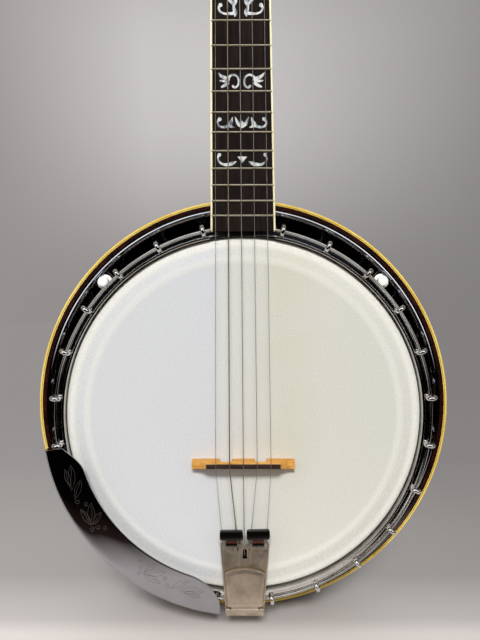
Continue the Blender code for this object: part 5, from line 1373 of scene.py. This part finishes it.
def round_notch(x, half=0.9, deep=5.0):
    """A narrow notch with a round end, open upwards."""
    points = [(x + half, TAIL_TOP + 4.0), (x - half, TAIL_TOP + 4.0)]
    for step in range(7):
        turned = math.pi * step / 6.0
        low = TAIL_TOP - deep + half - half * math.sin(turned)
        points.append((x - half * math.cos(turned), low))
    return points


def make_tailpiece():
    """Bent plate with side walls: notched mouth, arched slot, two pressed ridges, strap."""
    base = plate("tail_plate", tail_outline(0.0, TAIL_TOP, TAIL_END), TAIL_FRONT, -3.2)
    pocket = tail_outline(1.4, TAIL_TOP + 5.0, TAIL_END + 1.4)
    cut(base, plate("pocket", pocket, TAIL_BACK, -1.0))
    for x in TAIL_NOTCHES:
        deep = 2.4 if abs(x) < 1.0 else 5.0
        cut(base, plate("notch", round_notch(x, 0.75, deep), -9.0, -4.0))
    slot = [(-1.9, -110.5), (-1.9, -104.6), (-1.3, -103.0), (0.0, -101.6)]
    slot += [(-x, z) for x, z in reversed(slot[:-1])]
    cut(base, plate("slot", slot, -9.0, -4.0))
    soften(base, 0.3, 2, 40.0)
    hand_over(set_down(base, TAIL), OLD_NICKEL, ["tailpiece_base"])
    ridges = []
    for x in (-4.5, 4.5):
        spots = [(x, TAIL_FRONT + 0.1, -102.2), (x, TAIL_FRONT + 0.1, -118.5)]
        ridges.append(wire("ridge", spots, 0.7, 3))
    for x in (-17.4, 17.4):
        spots = [(x, TAIL_FRONT, -101.0), (x * 0.93, TAIL_FRONT, -118.0)]
        spots.append((x * 0.81, TAIL_FRONT, -151.0))
        ridges.append(wire("ridge", spots, 0.6, 3))
    lip = [(x, TAIL_FRONT - 0.02, z) for x, z in slot]
    ridges.append(wire("slot_lip", lip, 0.42, 2, closed=True))
    ridges = joined(ridges, "tail_ridges")
    hand_over(set_down(ridges, TAIL), OLD_NICKEL, ["tailpiece_base"])
    outline = [(-14.8, TAIL_BACK - 0.2), (14.8, TAIL_BACK - 0.2), (14.8, 1.0), (8.0, 6.0)]
    outline += [(8.0, 42.0), (-8.0, 42.0), (-8.0, 6.0), (-14.8, 1.0)]
    strap = slab("tail_strap", [(x, y, TAIL_END) for x, y in outline], (0.0, 0.0, 1.4))
    bore = bar("bore", 3.3, 150.0, 160.0, 20)
    cut(strap, set_down(bore, put(-TAIL_X, ROD_DEPTH, 0.0) @ lean(-90.0, "X")))
    soften(strap, 0.3, 2, 50.0)
    hand_over(set_down(strap, TAIL), OLD_NICKEL, ["tailpiece_base"])
    parts = []
    for side in (1.0, -1.0):
        profile = [(HINGE_Z + EAR_RADIUS, -6.3)]
        for step in range(13):
            turned = math.pi * step / 12.0
            depth = HINGE_Y - EAR_RADIUS * math.sin(turned)
            profile.append((HINGE_Z + EAR_RADIUS * math.cos(turned), depth))
        profile.append((HINGE_Z - EAR_RADIUS, -6.3))
        points = [(side * 11.4, depth, z) for z, depth in profile]
        parts.append(slab("ear", points, (side * 3.4, 0.0, 0.0)))
    pin = bar("pin", 1.0, -15.2, 15.2, 20, 0.4)
    parts.append(set_down(pin, put(0.0, HINGE_Y, HINGE_Z) @ lean(-90.0, "Z")))
    ears = joined(parts, "hinge_ears")
    hand_over(set_down(ears, TAIL), OLD_NICKEL, ["tailpiece_base"])


def cover_outline(inset):
    """The cover's outline from its hinge: arched mouth, straight sides, square end."""
    points = []
    steps = 20
    for step in range(steps + 1):
        share = 2.0 * step / steps - 1.0
        arch = -116.9 - 3.4 * share * share
        points.append((-(15.3 - inset) * share, arch - inset - HINGE_Z))
    low = -146.9 - HINGE_Z + inset
    return points + [(-13.4 + inset, low), (13.4 - inset, low)]


def make_tail_cover():
    """Arched clamshell cover: raised rim, sunk panel, rolled knuckle on the hinge pin."""
    front = -11.4 - HINGE_Y
    back = -8.0 - HINGE_Y
    cover = plate("cover_shell", cover_outline(0.0), front + 0.35, back)
    cut(cover, plate("pocket", cover_outline(1.0), front + 1.35, back + 1.0))
    soften(cover, 0.45, 3, 50.0)
    raised = plate("raised_panel", cover_outline(2.3), front + 0.02, front + 0.8)
    soften(raised, 0.3, 2, 50.0)
    sink_front(raised, 0.75, 0.18)
    knuckle = [(1.15, -10.8), (1.9, -10.8), (1.9, 10.8), (1.15, 10.8)]
    knuckle = set_down(turn("knuckle", eased(knuckle, 0.25), 32), lean(-90.0, "Z"))
    tongue = block("tongue", (-10.5, front + 0.4, -0.4), (10.5, front + 1.4, 3.4), 0.25)
    cover = joined([cover, raised, knuckle, tongue], "clamshell_cover")
    node = ["tailpiece_cover"]
    hand_over(set_down(cover, HINGE), OLD_NICKEL, node, "tail_cover")


def make_rod():
    """Coordinator rod with its inner nuts, and the tailpiece's nut below the strap."""
    upright = POT @ put(0.0, ROD_DEPTH, 0.0) @ lean(90.0, "X")
    low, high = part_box("coordinator_rod")
    middle = POT.translation.z
    ends = ((low.z - middle) / MM, (high.z - middle) / MM)
    rod = bar("rod_bar", 3.0, -ends[1], -ends[0], 24, 0.6)
    hand_over(set_down(rod, upright), NICKEL, ["coordinator_rod"])
    nuts = [("rod_nut_1", 2.6, 113.2, 119.2, "coordinator_rod")]
    nuts.append(("rod_nut_2", 2.6, -119.2, -113.2, "coordinator_rod"))
    low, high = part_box("tailpiece_nut")
    ends = sorted(((low.z - middle) / MM, (high.z - middle) / MM))
    nuts.append(("strap_nut", 3.1, -ends[1], -ends[0], "tailpiece_nut"))
    for name, bore, start, end, node in nuts:
        outline = [(bore, start), (5.4, start), (6.0, start + 0.6), (6.0, end - 0.6)]
        nut = turn(name, outline + [(5.4, end), (bore, end)], 6)
        hand_over(set_down(nut, upright), NICKEL, [node])


def make_damper():
    """Leather tabs through the tailpiece's mouth with rubber pads over the strings."""
    strap = block("damper_strap", (-13.8, -4.6, -112.0), (13.8, -3.2, -104.0), 0.35)
    hand_over(set_down(strap, TAIL), RUBBER, ["string_damper"])
    for number, side in enumerate((1.0, -1.0), start=1):
        middle = side * 10.3
        swing = put(middle, 0.0, PAD_MIDDLE) @ lean(-1.6 if side > 0 else -0.4, "Y")
        lift = 0.5 if side > 0 else 0.0
        profile = [(-91.4, -11.6), (-97.6, -11.6), (-98.4, -10.8), (-98.4, -4.4)]
        profile += [(-104.0, -4.4), (-104.0, -3.4), (-91.4, -3.4)]
        points = [(middle - 4.2, depth, z) for z, depth in eased(profile, 0.6)]
        tab = slab(f"damper_tab_{number}", points, (8.4, 0.0, 0.0))
        soften(tab, 0.4, 2, 50.0)
        hand_over(set_down(tab, TAIL), LEATHER, ["string_damper"])
        sleeve = block("sleeve", (middle - 4.6, -12.2, -98.6), (middle + 4.6, -4.8, -96.2), 0.5)
        sleeve.name = sleeve.data.name = f"damper_sleeve_{number}"
        hand_over(set_down(sleeve, TAIL), RUBBER, ["string_damper"])
        outline = eased([(8.9, -3.6), (8.9, 3.6), (-8.9, 3.6), (-8.9, -3.6)], 1.7, True, 5)
        pad = plate(f"damper_pad_{number}", outline, -15.0, -10.8)
        soften(pad, 0.7, 3, 50.0)
        set_down(pad, TAIL @ swing @ put(0.0, 0.0, lift))
        hand_over(pad, RUBBER, ["string_damper"])


# Armrest
def arm_inner(angle):
    """The inner edge swings out to the hoop in a soft curve at both ends."""
    from_start = max(min((angle - ARM_START) / 9.0, 1.0), 0.0)
    from_end = max(min((ARM_END - angle) / 12.0, 1.0), 0.0)
    start_share = 0.55 + 0.45 * math.sin(math.pi / 2.0 * from_start)
    end_share = 0.25 + 0.75 * math.sqrt(math.sin(math.pi / 2.0 * from_end))
    return ARM_OUTER - (ARM_OUTER - ARM_INNER) * min(start_share, end_share)


def arm_section(angle, per_span=4):
    """The plate's outer face from the rolled edge to the inner edge, as (radius, depth)."""
    inner = arm_inner(angle)
    span = ARM_OUTER - 3.0 - inner
    knots = [
        (ARM_OUTER, 2.5), (ARM_OUTER - 0.1, -2.6), (ARM_OUTER - 0.5, -7.0),
        (ARM_OUTER - 1.7, -9.1), (ARM_OUTER - 3.4, -9.75),
        (inner + span * 0.62, ARM_CREST + 0.18), (inner + span * 0.3, ARM_CREST + 0.06),
        (inner, ARM_CREST + 0.1),
    ]
    return [(point.x, point.y) for point in flowing(knots, per_span)]


def arm_depth(radius, angle):
    """Depth of the plate's face under a point of the engraving."""
    section = arm_section(angle, 8)
    for (outer, first), (inner, second) in zip(section, section[1:]):
        if inner <= radius <= outer:
            share = (outer - radius) / max(outer - inner, 1e-6)
            return first + (second - first) * share
    return ARM_CREST


def on_pot(radius, angle, depth):
    turned = math.radians(angle)
    return (radius * math.sin(turned), depth, radius * math.cos(turned))


def make_armrest():
    """Sheet metal drawn round the pot, thick as a coin, with eased edges and hooked legs."""
    steps = 64
    sections = []
    for step in range(steps + 1):
        share = step / steps
        share -= 0.06 * math.sin(2.0 * math.pi * share)
        angle = ARM_START + (ARM_END - ARM_START) * share
        sections.append([on_pot(radius, -angle, depth) for radius, depth in arm_section(angle)])
    arm = draw_through("armrest_plate", sections, closed=False)
    sides = sum(face.normal.y for face in arm.data.polygons)
    offset = -1.0 if sides < 0 else 1.0
    use_modifier(
        arm, "SOLIDIFY", thickness=ARM_THICKNESS * MM, offset=offset, use_even_offset=True
    )
    soften(arm, 0.58, 3, 50.0)
    hand_over(set_down(arm, POT), ARM_METAL, ["armrest"], angle=50.0)
    outline = [(149.8, -9.2), (149.8, 10.6), (145.1, 10.6), (145.1, 9.35), (148.5, 9.35)]
    outline += [(148.5, -9.2)]
    points = [(-4.5, depth, radius) for radius, depth in outline]
    leg = slab("leg", points, (9.0, 0.0, 0.0))
    soften(leg, 0.3, 2, 50.0)
    places = [POT @ round_pot(angle) for angle in LEG_ANGLES]
    spread(leg, "armrest_leg_{}", places, NICKEL, "armrest")


# Engraving in our own drawing: leaves and curls as (along the arc, towards the rim) in mm
def leaf(at, across, length, width, swing):
    """A pointed leaf outline with its midrib."""
    turned = math.radians(swing)
    outline = []
    for step in range(21):
        share = step / 20.0
        outline.append((length * share, width * math.sin(math.pi * share) ** 0.8))
    for step in range(20, -1, -1):
        share = step / 20.0
        outline.append((length * share, -0.8 * width * math.sin(math.pi * share) ** 1.1))
    rib = [(length * share / 8.0, width * 0.12 * math.sin(share)) for share in range(1, 8)]
    strokes = []
    for line in (outline, rib):
        stroke = []
        for x, y in line:
            side = across + x * math.sin(turned) + y * math.cos(turned)
            stroke.append((at + x * math.cos(turned) - y * math.sin(turned), side))
        strokes.append(stroke)
    return strokes


def curl(at, across, size, swing, way=1.0):
    """A small spiral tendril."""
    stroke = []
    for step in range(22):
        turned = math.radians(swing) + way * 0.36 * step
        reach = size * (1.0 - step / 26.0)
        stroke.append((at + reach * math.cos(turned), across + reach * math.sin(turned)))
    return [stroke]


def leaf_spray():
    """One spray: three leaves, two curls and a flower of three leaves with tendrils."""
    strokes = leaf(0.5, 18.0, 20.0, 3.0, -20.0) + leaf(2.0, 12.2, 13.5, 2.2, -4.0)
    strokes += leaf(14.0, 21.0, 16.0, 2.6, -40.0)
    strokes += curl(29.0, 11.8, 2.2, 200.0) + curl(33.4, 16.6, 2.0, 20.0, -1.0)
    strokes += leaf(50.0, 11.6, 15.0, 2.4, 183.0) + leaf(50.0, 12.4, 17.0, 3.0, 152.0)
    strokes += leaf(50.4, 13.0, 11.0, 2.2, 114.0)
    strokes += curl(52.6, 9.4, 2.2, 160.0, -1.0) + curl(54.0, 14.6, 2.0, 240.0)
    strokes += curl(58.4, 18.4, 1.8, 120.0)
    return strokes


def make_engraving():
    """Fine cuts along the armrest; the lower spray mirrors the upper one."""
    for name, start, way in (("upper", 105.0, 1.0), ("lower", 167.4, -1.0)):
        cuts = []
        for stroke in leaf_spray():
            points = []
            for along, across in stroke:
                angle = start + way * math.degrees(along / ENGRAVED_RADIUS)
                inner = arm_inner(angle)
                radius = ARM_OUTER - 1.5 - across * (ARM_OUTER - inner) / 27.0
                depth = arm_depth(radius, angle) - 0.02
                points.append(on_pot(radius, -angle, depth))
            cuts.append(wire("cut", points, 0.2, 1))
        piece = joined(cuts, f"engraved_leaves_{name}")
        hand_over(set_down(piece, POT), ENGRAVED, ["armrest"], angle=60.0)


# Studio
def paint_world():
    """What surrounds the object: a grey sweep to the camera, a dark room in polished metal."""
    world = bpy.data.worlds.new("studio")
    bpy.context.scene.world = world
    world.use_nodes = True
    tree = world.node_tree
    tree.nodes.clear()
    where = add(tree, "TexCoord", out="Generated")
    east, north, up = (add(tree, "SeparateXYZ", (where,), out=axis) for axis in "XYZ")
    # The sweep is lit softly behind the neck and falls off to the right
    left = add(tree, "MapRange", (east, -0.42, -0.16, 0.1, 1.0))
    right = add(tree, "MapRange", (east, -0.02, 0.48, 1.0, 0.0))
    below = add(tree, "MapRange", (up, -0.03, 0.36, 0.0, 1.0), interpolation_type="SMOOTHSTEP")
    above = add(tree, "MapRange", (up, 0.4, 0.6, 1.0, 0.5), interpolation_type="SMOOTHSTEP")
    glow = add(tree, "Math", (left, right), operation="MULTIPLY")
    for fall in (below, above):
        glow = add(tree, "Math", (glow, fall), operation="MULTIPLY")
    side = add(tree, "MapRange", (east, -0.4, 0.4, 0.0, 1.0))
    base = add(tree, "ValToRGB", (side,), ((0.0, "#94908f"), (1.0, "#83807f")))
    seen = {0: glow, 6: base, 7: linear("#c9c6c5")}
    seen = add(tree, "Mix", seen, out=2, data_type="RGBA")
    # Polished metal sees the grey sweep behind the object and an unlit room in front of it,
    # with a white arch over the camera that draws the bright lines along the metal's edges
    clutter = add(tree, "TexNoise", {"Vector": where, "Scale": per(260.0), "Detail": 2.0})
    room = ((0.4, "#050506"), (0.6, "#14161a"), (0.75, "#2b3038"))
    room = add(tree, "ValToRGB", (clutter,), room)
    arch = add(tree, "MapRange", (up, -0.04, 0.14, 0.0, 1.0))
    for rise in ((north, -0.92, -0.84, 0.0, 1.0), (north, -0.56, -0.46, 1.0, 0.0)):
        arch = add(tree, "Math", (arch, add(tree, "MapRange", rise)), operation="MULTIPLY")
    white = (ARCH_LIGHT, ARCH_LIGHT, ARCH_LIGHT, 1.0)
    room = add(tree, "Mix", {0: arch, 6: room, 7: white}, out=2, data_type="RGBA")
    behind = (north, -0.4, 0.2, 0.0, 1.0)
    behind = add(tree, "MapRange", behind, interpolation_type="SMOOTHSTEP")
    polished = add(tree, "Mix", {0: behind, 6: room, 7: seen}, out=2, data_type="RGBA")
    rays = ("Camera", "Glossy", "Transmission")
    camera, gloss, clear = (add(tree, "LightPath", out=f"Is {ray} Ray") for ray in rays)
    direct = add(tree, "Math", (camera, clear), operation="MAXIMUM")
    colour = {0: direct, 6: linear("#909090"), 7: seen}
    colour = add(tree, "Mix", colour, out=2, data_type="RGBA")
    colour = add(tree, "Mix", {0: gloss, 6: colour, 7: polished}, out=2, data_type="RGBA")
    backdrop = add(tree, "Background", {"Color": colour, "Strength": 1.0})
    add(tree, "OutputWorld", {"Surface": backdrop})


def lay_floor():
    """Matt paper whose tone fades into the sweep, with a painted light falloff: lighter just
    under the object, darker with depth and to the right; it keeps the object's shadow.
    """
    free_hands()
    bpy.ops.mesh.primitive_circle_add(
        vertices=96, radius=6.0, fill_type="NGON", location=(0.0, 0.0, FLOOR_Z)
    )
    floor = bpy.context.object
    floor.name = "floor"
    bpy.ops.object.transform_apply(location=True, rotation=True, scale=True)
    material, tree, shader = new_finish("matt_paper_sweep", "#cbc6c3", 0.8)
    where = stretched(tree)
    across, back = (add(tree, "SeparateXYZ", (where,), out=axis) for axis in "XY")
    flat = add(tree, "CombineXYZ", {"X": across, "Y": back})
    reach = add(tree, "VectorMath", (flat,), out="Value", operation="LENGTH")
    share = add(tree, "MapRange", (back, -0.02, 1.0, 0.0, 1.0))
    # Painted light falloff: lighter just under the object, darker with depth behind it
    paper_falloff_tones = ((0.0, "#e9e2de"), (0.02, "#cbc5c2"), (0.058, "#bbb6b4"), (0.09, "#aba6a4"))
    paper_falloff_tones += ((0.17, "#a7a3a1"), (0.29, "#a09c9a"), (0.46, "#999594"), (1.0, "#959190"))
    tone = add(tree, "ValToRGB", (share,), paper_falloff_tones)
    # Painted light falloff to the right: the paper darkens towards the right side
    side = add(tree, "MapRange", (across, -0.25, 0.3, 0.0, 1.0))
    side = add(tree, "ValToRGB", (side,), ((0.0, "#ffffff"), (1.0, "#e3e3e3")))
    shaded = {0: 1.0, 6: tone, 7: side}
    tone = add(tree, "Mix", shaded, out=2, data_type="RGBA", blend_type="MULTIPLY")
    dress(tree, shader, tone)
    glow = add(tree, "Emission", {"Color": tone, "Strength": 1.0})
    rays = ("Camera", "Glossy", "Diffuse")
    camera, gloss, soft = (add(tree, "LightPath", out=f"Is {ray} Ray") for ray in rays)
    fade = add(tree, "MapRange", (reach, 0.07, 0.26, 0.0, 1.0))
    fade = add(tree, "Math", (fade, camera), operation="MULTIPLY")
    paper = add(tree, "MixShader", (fade, shader.outputs[0], glow))
    # The paper ends in front of the object; polished metal shows the dark table past its edge
    edge = add(tree, "MapRange", (back, -0.5, -0.14, 0.0, 1.0))
    edges = ((0.0, "#030303"), (0.55, "#0a0807"), (0.72, "#2b201b"), (0.85, "#3a302b"))
    edge = add(tree, "ValToRGB", (edge,), edges)
    table = add(tree, "Emission", {"Color": edge, "Strength": 1.0})
    past = add(tree, "MapRange", (back, -0.13, -0.21, 0.0, 1.0))
    unseen = add(tree, "Math", (gloss, soft), operation="MAXIMUM")
    past = add(tree, "Math", (past, unseen), operation="MULTIPLY")
    whole = add(tree, "MixShader", (past, paper, table))
    tree.links.new(whole, tree.nodes["Material Output"].inputs["Surface"])
    floor.data.materials.append(material)


def hang_lamp(name, place, aim, size, power, colour="#ffffff"):
    """A soft box that polished surfaces don't mirror; they see the arch instead."""
    free_hands()
    bpy.ops.object.light_add(type="AREA", location=place)
    lamp = bpy.context.object
    lamp.name = name
    lamp.data.shape = "RECTANGLE"
    lamp.data.size, lamp.data.size_y = size
    lamp.data.energy = power
    lamp.data.color = linear(colour)[:3]
    lamp.visible_glossy = False
    toward = Vector(aim) - Vector(place)
    lamp.rotation_euler = toward.to_track_quat("-Z", "Y").to_euler()


def light_up():
    """A far key over the camera, weak sides, and soft light from behind and above."""
    bpy.context.scene.view_settings.view_transform = "Standard"
    aim = (0.0, 0.0, -0.64)
    hang_lamp("key_above", (0.0, -2.7, 1.34), aim, (0.9, 0.5), 109.0)
    hang_lamp("side_left", (-1.25, -1.05, 0.05), aim, (0.5, 0.9), 4.0)
    hang_lamp("side_right", (1.35, -1.0, -0.1), aim, (0.45, 0.8), 2.6, "#fffaf2")
    hang_lamp("behind", (0.3, 1.4, 0.2), aim, (1.4, 1.0), 8.0)
    hang_lamp("overhead", (0.0, -0.15, 0.7), (0.0, -0.1, -0.82), (1.2, 0.5), 1.0)


set_camera()
make_head()
make_rings()
make_tension_hoop()
make_flange()
make_hooks()
make_thumbscrews()
make_resonator()
make_front_binding()
make_neck()
make_peghead()
make_tuners()
make_fifth_peg()
make_fingerboard()
make_nut()
make_inlays()
make_strings()
make_bridge()
make_tailpiece()
make_tail_cover()
make_rod()
make_damper()
make_armrest()
make_engraving()
paint_world()
lay_floor()
light_up()
